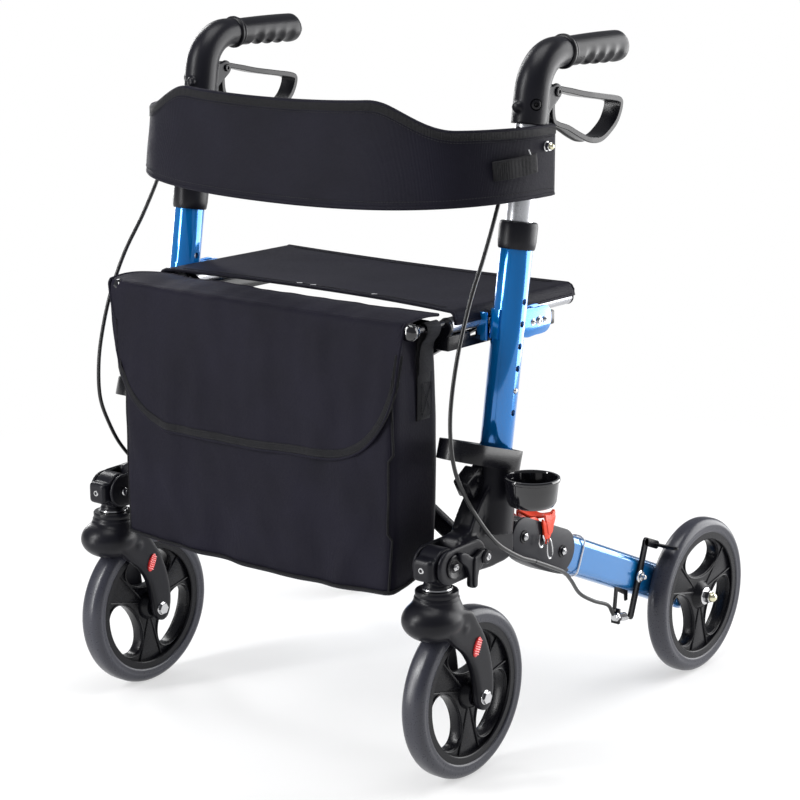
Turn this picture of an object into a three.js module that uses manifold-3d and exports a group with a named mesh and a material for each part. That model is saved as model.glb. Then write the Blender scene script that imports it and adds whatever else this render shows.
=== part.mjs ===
// Folding rollator walker: two side frames joined by a cross brace, with swivelling front
// casters, braked rear wheels, height-adjustable handles, a sling seat, a backrest band and a bag.
// Millimetres, +Z up. Front (casters, bag) is -Y, the user stands at +Y, the user's left is +X.
// Every side piece is drawn once for the left side and mirrored for the right.
import * as THREE from 'three';
import { mergeVertices } from 'three/addons/utils/BufferGeometryUtils.js';
import Module from 'manifold-3d';

const wasm = await Module();
wasm.setup();

// ---- driving dimensions ----
const GAP = 0.3;                       // clearance between neighbouring solids
const WHEEL_R = 101.5;                 // 203 mm (8 in) wheels
const TYRE_INNER_R = 84;
const FRONT_TYRE_W = 31;
const REAR_TYRE_W = 28;
const REAR_WHEEL = { x: 277.5, y: 378.5 };
const STEM = { x: 257, y: -149.8 };    // caster swivel axis
const TRAIL = 51;                      // caster axle behind the swivel axis
const FORK_TOP_Z = 238;
const POST = { x: 255, y: -36.2, z: 381.6 };   // where the post enters the casting
const POST_TILT = Math.atan(0.1555);   // posts lean back
const POST_R = 19;
const POST_BORE_R = 16.6;
const INNER_R = 15.9;                  // height tube
const HOLE_PITCH = 25.4;
const HOLE_COUNT = 6;
const PIN_HOLE = 1;                    // holes below the one that the button sits in
const PIN_Z = 65;                      // button height along the post
const PIN_R = 3.5;
const HOUSING_R = 20.5;
const HOUSING_BOTTOM_Z = 743;
const GRIP_Z = 821;
const GRIP_START_Y = 98;
const GRIP_END_Y = 212;
const LEVER_PIVOT = { y: 58, z: 778 };
const LEVER_HALF_W = 9;
const LEG = { x: 249, width: 24, height: 48, slope: 0.43, startY: 46 };
const LEG_HINGE = { y: 6, z: 264 };
const LEG_BOLT_Y = 86;
const HEAD_BOLT_Z = 266;
const FOLD_X = 222;                    // lower brace pivots and seat rails
const FOLD_Z = 255;
const RAIL_Z = 524;
const RAIL_R = 9.5;
const RAIL_Y = [-88, 150];
const BAR_Y = { a: -46, b: -30 };      // middle planes of the two brace bars
const BAR_T = 12;
const BAR_H = 20;
const BOSS_R = 11;
const SEAT_TOP_Z = 543;
const SEAT_HALF_W = 231;
const BAG = {
  halfWidth: 205, frontTopY: -160, frontBottomY: -172, rearY: -93, topZ: 534, bottomZ: 232, wall: 4,
};
const FLAP = { thickness: 4, bottomZ: 385 };
const BAND = { halfWidth: 274.5, rearY: 41.3, depth: 175, power: 3.4, thickness: 5 };
const CUP = { x: 318, y: -54, r: 30, topZ: 358, bottomZ: 324, wall: 2.5 };
const HUB_NUT_X = 304;                 // outermost point of the rear axle
const CABLE_R = 2.5;

// ---- materials ----
const paint = (color, roughness, metalness) => new THREE.MeshStandardMaterial({ color, roughness, metalness });
const BLUE = paint(0x007fc8, 0.25, 0.4);
const LEG_BLUE = paint(0x1560a8, 0.25, 0.6);
const SILVER = paint(0xc4c7cc, 0.3, 0.9);
const NYLON = paint(0x2a2a30, 0.55, 0.0);
const BLACK = paint(0x101012, 0.35, 0.1);
const RUBBER = paint(0x17171a, 0.7, 0.0);
const TYRE = paint(0x3c3c46, 0.7, 0.0);
const CHROME = paint(0xd8d8dc, 0.15, 1.0);
const ORANGE = paint(0xe8471c, 0.4, 0.0);
const CLOTH = paint(0x1b1b22, 0.9, 0.0);
const CUP_BLACK = paint(0x0b0b0d, 0.15, 0.0);

// ---- solid modelling helpers ----
function solid(geometry) {
  const bare = geometry.clone();
  bare.deleteAttribute('normal');
  bare.deleteAttribute('uv');
  const merged = mergeVertices(bare, 1e-4);
  return new wasm.Manifold(new wasm.Mesh({
    numProp: 3,
    vertProperties: new Float32Array(merged.attributes.position.array),
    triVerts: new Uint32Array(merged.index.array),
  }));
}

function geometryOf(manifold) {
  const mesh = manifold.getMesh();
  const geometry = new THREE.BufferGeometry();
  geometry.setAttribute('position', new THREE.BufferAttribute(new Float32Array(mesh.vertProperties), 3));
  geometry.setIndex(new THREE.BufferAttribute(new Uint32Array(mesh.triVerts), 1));
  return geometry;
}

const join = (...parts) => geometryOf(parts.map(solid).reduce((sum, part) => sum.add(part)));
const cut = (body, ...tools) => {
  const left = tools.map(solid).reduce((rest, tool) => rest.subtract(tool), solid(body));
  return geometryOf(left);
};
const common = (a, b) => geometryOf(solid(a).intersect(solid(b)));

// ---- shape helpers ----
const v2 = (x, y) => new THREE.Vector2(x, y);
const v3 = (x, y, z) => new THREE.Vector3(x, y, z);

function block(x, y, z) {
  const box = new THREE.BoxGeometry(x[1] - x[0], y[1] - y[0], z[1] - z[0]);
  return box.translate((x[0] + x[1]) / 2, (y[0] + y[1]) / 2, (z[0] + z[1]) / 2);
}

// A cylinder between two values of one axis, centred on `at` in the other two.
function rod(axis, r, from, to, at = [0, 0, 0], sides = 24) {
  const cylinder = new THREE.CylinderGeometry(r, r, to - from, sides);
  if (axis === 'x') cylinder.rotateZ(-Math.PI / 2);
  if (axis === 'z') cylinder.rotateX(Math.PI / 2);
  const middle = (from + to) / 2;
  const shift = { x: [middle, 0, 0], y: [0, middle, 0], z: [0, 0, middle] }[axis];
  return cylinder.translate(at[0] + shift[0], at[1] + shift[1], at[2] + shift[2]);
}

// A closed turned profile of [radius, height] points about the given axis.
function turned(profile, axis = 'z', at = [0, 0, 0], sides = 32) {
  const closed = profile[0][0] === 0 ? profile : [...profile, profile[0]];
  const lathe = new THREE.LatheGeometry(closed.map(([r, h]) => v2(r, h)), sides);
  if (axis === 'x') lathe.rotateZ(-Math.PI / 2);
  if (axis === 'z') lathe.rotateX(Math.PI / 2);
  const outward = solid(lathe).volume() > 0 ? lathe : flipped(lathe);
  return outward.translate(...at);
}

function flipped(geometry) {
  const turnedOver = geometry.clone();
  const index = turnedOver.index.array;
  for (let i = 0; i < index.length; i += 3) {
    [index[i], index[i + 1]] = [index[i + 1], index[i]];
  }
  return turnedOver;
}

// A plate drawn in the Y-Z plane and given a thickness along X.
function plateX(shape, from, to, curveSegments = 12) {
  const plate = new THREE.ExtrudeGeometry(shape, { depth: to - from, bevelEnabled: false, curveSegments });
  plate.applyMatrix4(new THREE.Matrix4().makeBasis(v3(0, 1, 0), v3(0, 0, 1), v3(1, 0, 0)));
  return plate.translate(from, 0, 0);
}

// A plate drawn in the X-Z plane and given a thickness along Y.
function plateY(shape, from, to, curveSegments = 12) {
  const plate = new THREE.ExtrudeGeometry(shape, { depth: to - from, bevelEnabled: false, curveSegments });
  plate.applyMatrix4(new THREE.Matrix4().makeBasis(v3(1, 0, 0), v3(0, 0, 1), v3(0, -1, 0)));
  return plate.translate(0, to, 0);
}

// A closed outline, always wound anticlockwise.
function outline(points) {
  const corners = points.map(([a, b]) => v2(a, b));
  if (THREE.ShapeUtils.isClockWise(corners)) corners.reverse();
  return new THREE.Shape(corners);
}

// The outline of two circles joined by their outer tangents.
function link(a, ra, b, rb, steps = 7) {
  const direction = Math.atan2(b[1] - a[1], b[0] - a[0]);
  const spread = Math.acos((ra - rb) / Math.hypot(b[0] - a[0], b[1] - a[1]));
  const points = [];
  for (let i = 0; i <= steps; i += 1) {
    const angle = direction + spread + ((2 * Math.PI - 2 * spread) * i) / steps;
    points.push([a[0] + ra * Math.cos(angle), a[1] + ra * Math.sin(angle)]);
  }
  for (let i = 0; i <= steps; i += 1) {
    const angle = direction - spread + (2 * spread * i) / steps;
    points.push([b[0] + rb * Math.cos(angle), b[1] + rb * Math.sin(angle)]);
  }
  return outline(points);
}

// A round bar swept along a smooth curve through the given points.
function swept(points, r, steps, sides = 12) {
  const section = new THREE.Shape();
  section.absarc(0, 0, r, 0, 2 * Math.PI);
  const path = new THREE.CatmullRomCurve3(points.map((p) => v3(...p)), false, 'centripetal');
  const settings = { steps, extrudePath: path, curveSegments: sides / 2, bevelEnabled: false };
  return new THREE.ExtrudeGeometry(section, settings);
}

function stadium(width, height) {
  const shape = new THREE.Shape();
  const r = width / 2;
  shape.absarc(0, height / 2 - r, r, 0, Math.PI, false);
  shape.absarc(0, r - height / 2, r, Math.PI, 2 * Math.PI, false);
  return shape;
}

// ---- frames of reference along the post ----
const postY = (z) => POST.y + (z - POST.z) * Math.tan(POST_TILT);
const alongPost = (z) => (z - POST.z) / Math.cos(POST_TILT);
const onPost = (geometry) => geometry.clone().rotateX(-POST_TILT).translate(POST.x, POST.y, POST.z);
const legZ = (y) => WHEEL_R + LEG.slope * (REAR_WHEEL.y - y);

// ---- assembly ----
const walker = new THREE.Group();

function add(name, geometry, material, at = [0, 0, 0], tilt = 0) {
  const mesh = new THREE.Mesh(geometry, material);
  mesh.name = name;
  mesh.position.set(...at);
  mesh.rotation.x = tilt;
  walker.add(mesh);
}

function mirrored(geometry) {
  const indexed = geometry.index ? geometry.clone() : mergeVertices(geometry, 1e-6);
  return flipped(indexed.scale(-1, 1, 1));
}

// Left piece as drawn, right piece mirrored in the plane between the two side frames.
function addPair(name, geometry, material, at = [0, 0, 0], tilt = 0) {
  add(`${name}_left`, geometry, material, at, tilt);
  add(`${name}_right`, mirrored(geometry), material, [-at[0], at[1], at[2]], tilt);
}

const POST_PLACE = [POST.x, POST.y, POST.z];

// ---- posts and handles, drawn along the post ----
function postTube() {
  const wall = [[POST_R, -75], [POST_R, 240], [POST_BORE_R, 240], [POST_BORE_R, -75]];
  const body = turned(wall, 'z', [0, 0, 0], 24);
  const holes = [];
  for (let i = 0; i < HOLE_COUNT; i += 1) {
    holes.push(rod('x', PIN_R + GAP, 10, 24, [0, 0, PIN_Z + (i - PIN_HOLE) * HOLE_PITCH], 12));
  }
  return cut(body, ...holes);
}

function heightTube() {
  const body = turned([[INNER_R, -40], [INNER_R, 398], [14.2, 398], [14.2, -40]], 'z', [0, 0, 0], 24);
  return cut(body, rod('x', PIN_R + GAP, 8, 20, [0, 0, PIN_Z], 12));
}

const heightPin = () => turned([[0, 7], [PIN_R, 7], [PIN_R, 19], [2.5, 20.4], [0, 21]], 'x', [0, 0, PIN_Z], 12);

function postCollar() {
  const low = alongPost(605);
  const high = alongPost(635);
  const profile = [
    [POST_R + GAP, low], [21, low], [22, low + 4], [22, high - 4], [20.5, high],
    [INNER_R + GAP, high], [INNER_R + GAP, 240 + GAP], [POST_R + GAP, 240 + GAP],
  ];
  return turned(profile, 'z', [0, 0, 0], 24);
}

addPair('post_tube', postTube(), BLUE, POST_PLACE, -POST_TILT);
addPair('height_tube', heightTube(), SILVER, POST_PLACE, -POST_TILT);
addPair('height_pin', heightPin(), CHROME, POST_PLACE, -POST_TILT);
addPair('post_collar', postCollar(), NYLON, POST_PLACE, -POST_TILT);

// Moulded elbow that turns the post into the grip, with two ears that carry the brake lever.
function handleHousing() {
  const bendR = 46;
  const startZ = 778;
  const centre = {
    y: postY(startZ) + bendR * Math.cos(POST_TILT),
    z: startZ - bendR * Math.sin(POST_TILT),
  };
  const points = [[0, postY(HOUSING_BOTTOM_Z), HOUSING_BOTTOM_Z], [0, postY(760), 760]];
  for (let i = 0; i <= 6; i += 1) {
    const angle = Math.PI - POST_TILT - ((Math.PI / 2 - POST_TILT) * i) / 6;
    points.push([0, centre.y + bendR * Math.cos(angle), centre.z + bendR * Math.sin(angle)]);
  }
  const lift = GRIP_Z - (centre.z + bendR);
  const elbow = points.map(([x, y, z], i) => [x, y, z + (lift * i) / (points.length - 1)]);
  elbow.push([0, GRIP_START_Y, GRIP_Z]);
  const body = swept(elbow, HOUSING_R, 12, 18);
  const bore = rod('z', INNER_R + GAP, -20, 401, [0, 0, 0], 24)
    .rotateX(-POST_TILT)
    .translate(0, POST.y, POST.z);
  const earShape = link([LEVER_PIVOT.y, LEVER_PIVOT.z], 9, [postY(770) + 8, 766], 14);
  const ears = [[-13, -LEVER_HALF_W - GAP], [LEVER_HALF_W + GAP, 13]].map(([a, b]) => plateX(earShape, a, b));
  return cut(join(body, ...ears), bore, rod('x', 3 + GAP, -20, 20, [0, LEVER_PIVOT.y, LEVER_PIVOT.z], 16));
}

function grip() {
  const length = GRIP_END_Y - GRIP_START_Y - GAP;
  const profile = [
    [0, 0], [20.5, 0], [20.5, 4], [17.5, 6], [16.8, 18], [18.2, 34], [17, 50], [18.2, 66],
    [18.8, 84], [17.5, 98], [11, length - 3], [0, length],
  ];
  return turned(profile, 'y', [0, GRIP_START_Y + GAP, GRIP_Z], 24);
}

// Disc beside the lever that it clicks into when it is pushed down to park, with the pivot pin.
function brakeCam() {
  const at = [0, LEVER_PIVOT.y, LEVER_PIVOT.z];
  const disc = rod('x', 8, -LEVER_HALF_W, -LEVER_HALF_W + 3.5, at, 20);
  return join(disc, rod('x', 3, -14, 14, at, 16));
}

// Closed loop lever below the grip.
function brakeLever() {
  const { y, z } = LEVER_PIVOT;
  const outer = [
    [y - 7, z + 6], [y + 6, z + 7], [y + 60, z - 6], [y + 141, z - 17], [y + 143, z - 27],
    [y + 132, z - 44], [y + 114, z - 57], [y + 92, z - 64], [y + 74, z - 63], [y + 54, z - 56],
    [y + 14, z - 44], [y + 1, z - 43], [y - 8, z - 8],
  ];
  const inner = [
    [y + 10, z - 5], [y + 60, z - 13], [y + 130, z - 24], [y + 130, z - 31], [y + 120, z - 41],
    [y + 106, z - 52], [y + 90, z - 57], [y + 76, z - 57], [y + 56, z - 50], [y + 16, z - 38], [y + 6, z - 30],
  ];
  const shape = outline(outer);
  shape.holes.push(outline(inner));
  const body = plateX(shape, -LEVER_HALF_W + 3.5 + GAP, LEVER_HALF_W);
  return cut(body, rod('x', 3 + GAP, -20, 20, [0, y, z], 16));
}

const HANDLE_PLACE = [POST.x, 0, 0];
addPair('handle_housing', handleHousing(), NYLON, HANDLE_PLACE);
addPair('grip', grip(), RUBBER, HANDLE_PLACE);
addPair('brake_cam', brakeCam(), CHROME, HANDLE_PLACE);
addPair('brake_lever', brakeLever(), NYLON, HANDLE_PLACE);

// ---- frame casting: post socket, front arm, rear lug, brace pivot, band and catch ----
function postSocket() {
  const top = 3;
  const profile = [[0, -100], [30, -100], [29, -60], [25.5, top - 8], [25.5, top], [0, top]];
  const outer = turned(profile, 'z', [0, 0, 0], 24);
  return onPost(outer);
}

function castingBand() {
  const reach = 42;
  const ring = (r) => {
    const shape = new THREE.Shape();
    shape.absarc(0, 0, r, 0, Math.PI, false);
    shape.absarc(0, -reach, r, Math.PI, 2 * Math.PI, false);
    return shape;
  };
  const shape = ring(29);
  shape.holes.push(ring(24));
  const band = new THREE.ExtrudeGeometry(shape, { depth: 21, bevelEnabled: false, curveSegments: 6 });
  return band.translate(0, 0, -24).rotateX(-POST_TILT - 0.1).translate(POST.x, POST.y, POST.z);
}

function frameCasting() {
  const body = plateX(outline([
    [-122, 290], [-96, 300], [-86, 318], [-60, 340], [-22, 336], [-16, 312], [-17, 284], [-17, 250],
    [-48, 243], [-88, 244], [-122, 246],
  ]), 240, 270);
  const lug = plateX(link([LEG_HINGE.y, LEG_HINGE.z], 19, [-34, 268], 23), 240.5, 257.5);
  const cheekShape = link([STEM.y, HEAD_BOLT_Z], 21, [-104, 268], 22);
  const cheeks = [[237, 242.6], [271.4, 277]].map(([a, b]) => plateX(cheekShape, a, b));
  const bridge = plateX(outline([[-120, 248], [-120, 288], [-92, 290], [-92, 248]]), 238, 276);
  const earShape = outline([
    [FOLD_X - 12, FOLD_Z], [FOLD_X - 8, FOLD_Z + 9], [FOLD_X, FOLD_Z + 13], [244, FOLD_Z + 18],
    [244, FOLD_Z - 12], [FOLD_X, FOLD_Z - 13], [FOLD_X - 8, FOLD_Z - 9],
  ]);
  const ears = [[-62, -52.6], [-23.4, -17]].map(([a, b]) => plateY(earShape, a, b));
  const pin = rod('y', 5, -60, -18, [FOLD_X, 0, FOLD_Z], 12);
  const catchBlock = block([-13, 13], [-17, 17], [-15, 15]).rotateX(0.6).translate(250, -86, 345);
  const whole = join(postSocket(), body, lug, ...cheeks, bridge, ...ears, pin, catchBlock, castingBand());
  const bore = onPost(rod('z', POST_R + GAP, -82, 30, [0, 0, 0], 24));
  const hinge = rod('x', 5 + GAP, 230, 280, [0, LEG_HINGE.y, LEG_HINGE.z], 12);
  return cut(whole, bore, hinge);
}

addPair('frame_casting', frameCasting(), NYLON);

// ---- casters ----
function casterHead() {
  const knuckle = rod('x', 22, -14, 14, [0, 0, HEAD_BOLT_Z], 18);
  const profile = [
    [0, FORK_TOP_Z + 1], [16, FORK_TOP_Z + 1], [15, 243], [13.5, 246], [13.5, 262], [0, 262],
  ];
  const neck = turned(profile, 'z', [0, 0, 0], 18);
  const nose = block([-14, 14], [-30, -6], [252, 278]);
  const spindle = rod('z', 6, 212, 245, [0, 0, 0], 12);
  return join(knuckle, neck, nose, spindle);
}

function casterFork() {
  const axle = [TRAIL, WHEEL_R];
  const legShape = outline([
    [-25, 226], [-18, 200], [2, 158], [28, 118], [34, 96], [42, 86], [54, 84], [64, 90], [68, 102],
    [62, 116], [48, 134], [34, 170], [27, 200], [27, 226],
  ]);
  const legs = [[-31, -18.5], [18.5, 31]].map(([a, b]) => plateX(legShape, a, b));
  const crown = block([-31, 31], [-25, 27], [208, 226]);
  const cap = turned([[0, 222], [27, 222], [24, 230], [23, FORK_TOP_Z], [0, FORK_TOP_Z]], 'z', [0, 0, 0], 20);
  const whole = join(...legs, crown, cap);
  const axleHole = rod('x', 5 + GAP, -40, 40, [0, ...axle], 12);
  return cut(whole, axleHole, rod('z', 6 + GAP, 211, 250, [0, 0, 0], 12));
}

function axleBolt(from, to, headR, headT) {
  const shaft = rod('x', 5, from, to, [0, 0, 0], 12);
  const head = rod('x', headR, from - headT, from, [0, 0, 0], 6);
  const nut = rod('x', headR, to, to + headT, [0, 0, 0], 6);
  return join(shaft, head, nut);
}

function tyre(width) {
  const half = width / 2;
  return turned([
    [TYRE_INNER_R, -half + 1], [TYRE_INNER_R, half - 1], [95, half], [WHEEL_R, half - 9],
    [WHEEL_R, -half + 9], [95, -half],
  ], 'x', [0, 0, 0], 36);
}

// Rim ring, hub and a web with three large openings that leave the spokes.
function rim(width, hubHalf) {
  const half = width / 2;
  const outerR = TYRE_INNER_R - GAP;
  const disc = new THREE.Shape();
  disc.absarc(0, 0, 78, 0, 2 * Math.PI, false);
  for (let i = 0; i < 3; i += 1) {
    const turn = Math.PI / 2 + (i * 2 * Math.PI) / 3;
    const opening = new THREE.Path();
    opening.absellipse(50 * Math.cos(turn), 50 * Math.sin(turn), 23, 39, 0, 2 * Math.PI, true, turn);
    disc.holes.push(opening);
  }
  const web = plateX(disc, -8, 8, 9);
  const ring = turned([[75, -half], [outerR, -half], [outerR, half], [75, half]], 'x', [0, 0, 0], 36);
  const hub = rod('x', 17, -hubHalf, hubHalf, [0, 0, 0], 18);
  return cut(join(web, ring, hub), rod('x', 5 + GAP, -40, 40, [0, 0, 0], 12));
}

const CASTER_PLACE = [STEM.x, STEM.y, 0];
const FRONT_WHEEL_PLACE = [STEM.x, STEM.y + TRAIL, WHEEL_R];
const REAR_WHEEL_PLACE = [REAR_WHEEL.x, REAR_WHEEL.y, WHEEL_R];
addPair('caster_head', casterHead(), NYLON, CASTER_PLACE);
addPair('caster_fork', casterFork(), NYLON, CASTER_PLACE);
addPair('front_axle', axleBolt(-31.3, 31.3, 8, 5), CHROME, FRONT_WHEEL_PLACE);
addPair('front_rim', rim(26, 17.5), BLACK, FRONT_WHEEL_PLACE);
addPair('front_tyre', tyre(FRONT_TYRE_W), TYRE, FRONT_WHEEL_PLACE);
addPair('rear_rim', rim(24, 15), BLACK, REAR_WHEEL_PLACE);
addPair('rear_tyre', tyre(REAR_TYRE_W), TYRE, REAR_WHEEL_PLACE);

function rearAxle() {
  const inner = LEG.x - LEG.width / 2 - REAR_WHEEL.x - GAP;
  return axleBolt(inner, 17, 9, HUB_NUT_X - REAR_WHEEL.x - 17);
}
addPair('rear_axle', rearAxle(), CHROME, REAR_WHEEL_PLACE);

// ---- rear legs ----
// Hollow oval tube, open at its front end, with a round end at the axle.
function rearLeg() {
  const angle = Math.atan(LEG.slope);
  const length = (REAR_WHEEL.y - LEG.startY) / Math.cos(angle);
  const run = (width, height, from, to) => {
    const settings = { depth: to - from, bevelEnabled: false, curveSegments: 8 };
    const bar = new THREE.ExtrudeGeometry(stadium(width, height), settings);
    return bar
      .translate(0, 0, from)
      .rotateX(Math.PI / 2 - angle)
      .translate(LEG.x, REAR_WHEEL.y, WHEEL_R);
  };
  const half = LEG.width / 2;
  const end = rod('x', LEG.height / 2, LEG.x - half, LEG.x + half, [0, REAR_WHEEL.y, WHEEL_R], 32);
  const tube = join(run(LEG.width, LEG.height, 0, length), end);
  const hollow = run(LEG.width - 5, LEG.height - 5, 30, length + 5);
  const holes = [[5, REAR_WHEEL.y], [4, 262]].map(([r, y]) => rod('x', r + GAP, 200, 300, [0, y, legZ(y)], 12));
  return cut(tube, hollow, ...holes);
}

// Two cheeks that hold the leg's front end and turn with it on the casting's lug.
function legBracket() {
  const shape = link([LEG_HINGE.y, LEG_HINGE.z], 23, [LEG_BOLT_Y, legZ(LEG_BOLT_Y)], 27);
  const cheeks = [[232.6, 236.7], [261.3, 265.4]].map(([a, b]) => plateX(shape, a, b));
  const hingePin = rod('x', 5, 229, 269, [0, LEG_HINGE.y, LEG_HINGE.z], 12);
  const legBolt = rod('x', 4, 229, 269, [0, LEG_BOLT_Y, legZ(LEG_BOLT_Y)], 12);
  return join(...cheeks, hingePin, legBolt);
}

function rearLegDrilled() {
  return cut(rearLeg(), rod('x', 4 + GAP, 200, 300, [0, LEG_BOLT_Y, legZ(LEG_BOLT_Y)], 12));
}

// Lever plate on the leg whose top bar presses on the tread.
function brakeArm() {
  const pivot = [262, legZ(262)];
  const top = [276, 194];
  const bottom = [245, 104];
  const shoe = [301, 184];
  const plates = [link(bottom, 6, pivot, 8), link(pivot, 8, top, 6), link(top, 6, shoe, 4)];
  const arm = plates.map((shape) => plateX(shape, 261.5, 265.5, 6));
  const bar = rod('x', 4, 261.5, 292, [0, ...shoe], 10);
  const pin = rod('x', 4, 240, 269, [0, ...pivot], 12);
  return join(...arm, bar, pin);
}

// Saddle pulled up to free the leg's lock pin.
function releasePull() {
  const shape = outline([
    [227.5, 250], [231.5, 250], [232, 278], [237, 284], [261, 284], [266, 278], [266.5, 250], [270.5, 250],
    [270, 282], [263, 289], [235, 289], [228, 282],
  ]);
  return plateY(shape, 44, 60);
}

addPair('rear_leg', rearLegDrilled(), LEG_BLUE);
addPair('leg_bracket', legBracket(), NYLON);
addPair('brake_arm', brakeArm(), BLACK);
addPair('release_pull', releasePull(), ORANGE);

// Small wing lever on the outside of the front arm.
function wingLever() {
  const pivot = [-92, 267];
  const shape = outline([
    [-86, 273], [-98, 273], [-106, 266], [-124, 264], [-122, 256], [-112, 244], [-110, 234], [-102, 234],
    [-99, 250], [-88, 260],
  ]);
  const boss = rod('x', 8, 277.3, 286, [0, ...pivot], 20);
  return join(plateX(shape, 277.3, 283), boss);
}
addPair('wing_lever', wingLever(), NYLON);

// ---- brake cables: one run from the handle to the frame, one along the leg to the brake ----
const CABLE_ROUTE = [
  [256, -2, 742], [258, -14, 724], [260, -32, 690], [261, -50, 650], [264, -76, 605], [268, -106, 560],
  [271, -130, 510], [273, -145, 460], [275, -150, 420], [278, -146, 380], [281, -130, 345],
  [285, -106, 310], [286, -74, 278], [285, -30, 252], [283, 4, 238],
];
const LEG_CABLE_ROUTE = [
  [282.5, 6, 237], [280, 40, 222], [275, 76, 205], [267, 104, 186], [256, 140, 158], [256, 172, 140],
  [258, 200, 128], [260, 216, 118], [262, 229, 110],
];
addPair('brake_cable', swept(CABLE_ROUTE, CABLE_R, 40, 8), RUBBER);
addPair('leg_cable', swept(LEG_CABLE_ROUTE, CABLE_R, 18, 8), RUBBER);

// ---- cross brace: bar a runs left low to right high, bar b the other way ----
function braceBar(side, middleY) {
  const low = [side * FOLD_X, FOLD_Z];
  const high = [-side * FOLD_X, RAIL_Z];
  const centre = [0, (FOLD_Z + RAIL_Z) / 2];
  const shape = link(low, BAR_H / 2, high, BOSS_R, 8);
  const y = [middleY - BAR_T / 2, middleY + BAR_T / 2];
  const bar = plateY(shape, ...y);
  const saddle = rod('y', RAIL_R + GAP, y[0] - 1, y[1] + 1, [high[0], 0, high[1]], 28);
  const pivot = rod('y', 5 + GAP, y[0] - 1, y[1] + 1, [low[0], 0, low[1]], 20);
  const middle = rod('y', 6 + GAP, y[0] - 1, y[1] + 1, [centre[0], 0, centre[1]], 20);
  return { bar, saddle, pivot, middle };
}

function crossBarA() {
  const { bar, saddle, pivot } = braceBar(1, BAR_Y.a);
  const centreZ = (FOLD_Z + RAIL_Z) / 2;
  const bolt = rod('y', 6, BAR_Y.a - 12, BAR_Y.b + 11, [0, 0, centreZ], 20);
  const nut = rod('y', 10, BAR_Y.b + BAR_T / 2 + GAP, BAR_Y.b + 13, [0, 0, centreZ], 6);
  return join(cut(bar, saddle, pivot), bolt, nut);
}

function crossBarB() {
  const { bar, saddle, pivot, middle } = braceBar(-1, BAR_Y.b);
  return cut(bar, saddle, pivot, middle);
}

add('cross_bar_a', crossBarA(), BLACK);
add('cross_bar_b', crossBarB(), BLACK);

// ---- seat ----
function seatRail() {
  const r = RAIL_R;
  const wall = [[r, RAIL_Y[0]], [r, RAIL_Y[1]], [r - 1.8, RAIL_Y[1]], [r - 1.8, RAIL_Y[0]]];
  return turned(wall, 'y', [FOLD_X, 0, RAIL_Z], 20);
}

// Ledge under the rail, its clamp round the post, and the rod and knob that the bag hangs on.
function seatSupport() {
  const top = RAIL_Z - RAIL_R - GAP;
  const ledge = cut(
    block([212, 231.5], [-97, 142], [497, top]),
    block([200, 224], [BAR_Y.a - 10, BAR_Y.b + 10], [490, 530]),
    block([200, 240], [BAR_Y.a - 10, BAR_Y.b + 10], [507, 530]),
  );
  const clampZ = alongPost(519);
  const clampProfile = [[0, clampZ - 17], [21.5, clampZ - 17], [21.5, clampZ + 17], [0, clampZ + 17]];
  const ring = onPost(turned(clampProfile, 'z', [0, 0, 0], 24));
  const flange = block([250, 258], [0, 52], [502, 535]);
  const tie = block([228, 250], [4, 16], [499, 511]);
  const disc = rod('y', 11, -97, -91, [224, 0, RAIL_Z - 2], 16);
  const hanger = rod('y', 4, -150, -95, [224, 0, RAIL_Z + 4], 10);
  const knob = rod('y', 10, -164, -148, [224, 0, RAIL_Z + 4], 14);
  const whole = join(ledge, ring, flange, tie, disc, hanger, knob);
  return cut(whole, onPost(rod('z', POST_R + GAP, 90, 190, [0, 0, 0], 24)));
}

const seatSling = () => block([-SEAT_HALF_W, SEAT_HALF_W], [-84, 152], [RAIL_Z + BOSS_R + GAP, SEAT_TOP_Z]);

addPair('seat_rail', seatRail(), SILVER);
addPair('seat_support', seatSupport(), NYLON);
add('seat_sling', seatSling(), CLOTH);

// ---- backrest band: a superellipse in plan, higher over the posts, lower edge bowed down ----
function backrestBand() {
  const plan = (offset) => {
    const points = [];
    const half = BAND.halfWidth + offset;
    const depth = BAND.depth + offset;
    const quadrant = 14;
    for (let i = -quadrant; i <= quadrant; i += 1) {
      const t = (i / quadrant) * (Math.PI / 2);
      const x = half * Math.sign(t) * Math.abs(Math.sin(t)) ** (2 / BAND.power);
      const y = BAND.rearY - depth * Math.cos(t) ** (2 / BAND.power);
      points.push([x, y]);
    }
    return points;
  };
  const outer = plan(BAND.thickness / 2);
  const inner = plan(-BAND.thickness / 2).reverse();
  const band = new THREE.ExtrudeGeometry(outline([...outer, ...inner]), { depth: 140, bevelEnabled: false });
  band.translate(0, 0, 635);
  const top = [];
  const bottom = [];
  for (let i = 0; i <= 24; i += 1) {
    const x = -290 + (580 * i) / 24;
    const lift = THREE.MathUtils.smoothstep(215 - Math.abs(x), 0, 42);
    top.push([x, 739 + 27 * lift]);
    bottom.unshift([x, 665 - 16 * Math.max(0, 1 - (x / 272) ** 2)]);
  }
  return common(band, plateY(outline([...bottom, ...top]), -160, 60));
}
add('backrest_band', backrestBand(), CLOTH);

// ---- storage bag with an open top, and its flap ----
function storageBag() {
  const { halfWidth, frontTopY, frontBottomY, rearY, topZ, bottomZ, wall } = BAG;
  const side = (grow, floor, roof) => outline([
    [frontTopY + grow, roof], [frontBottomY + grow, floor], [rearY - grow, floor], [rearY - grow, roof],
  ]);
  const outer = plateX(side(0, bottomZ, topZ), -halfWidth, halfWidth);
  return cut(outer, plateX(side(wall, bottomZ + wall, topZ + 5), -halfWidth + wall, halfWidth - wall));
}

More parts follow.
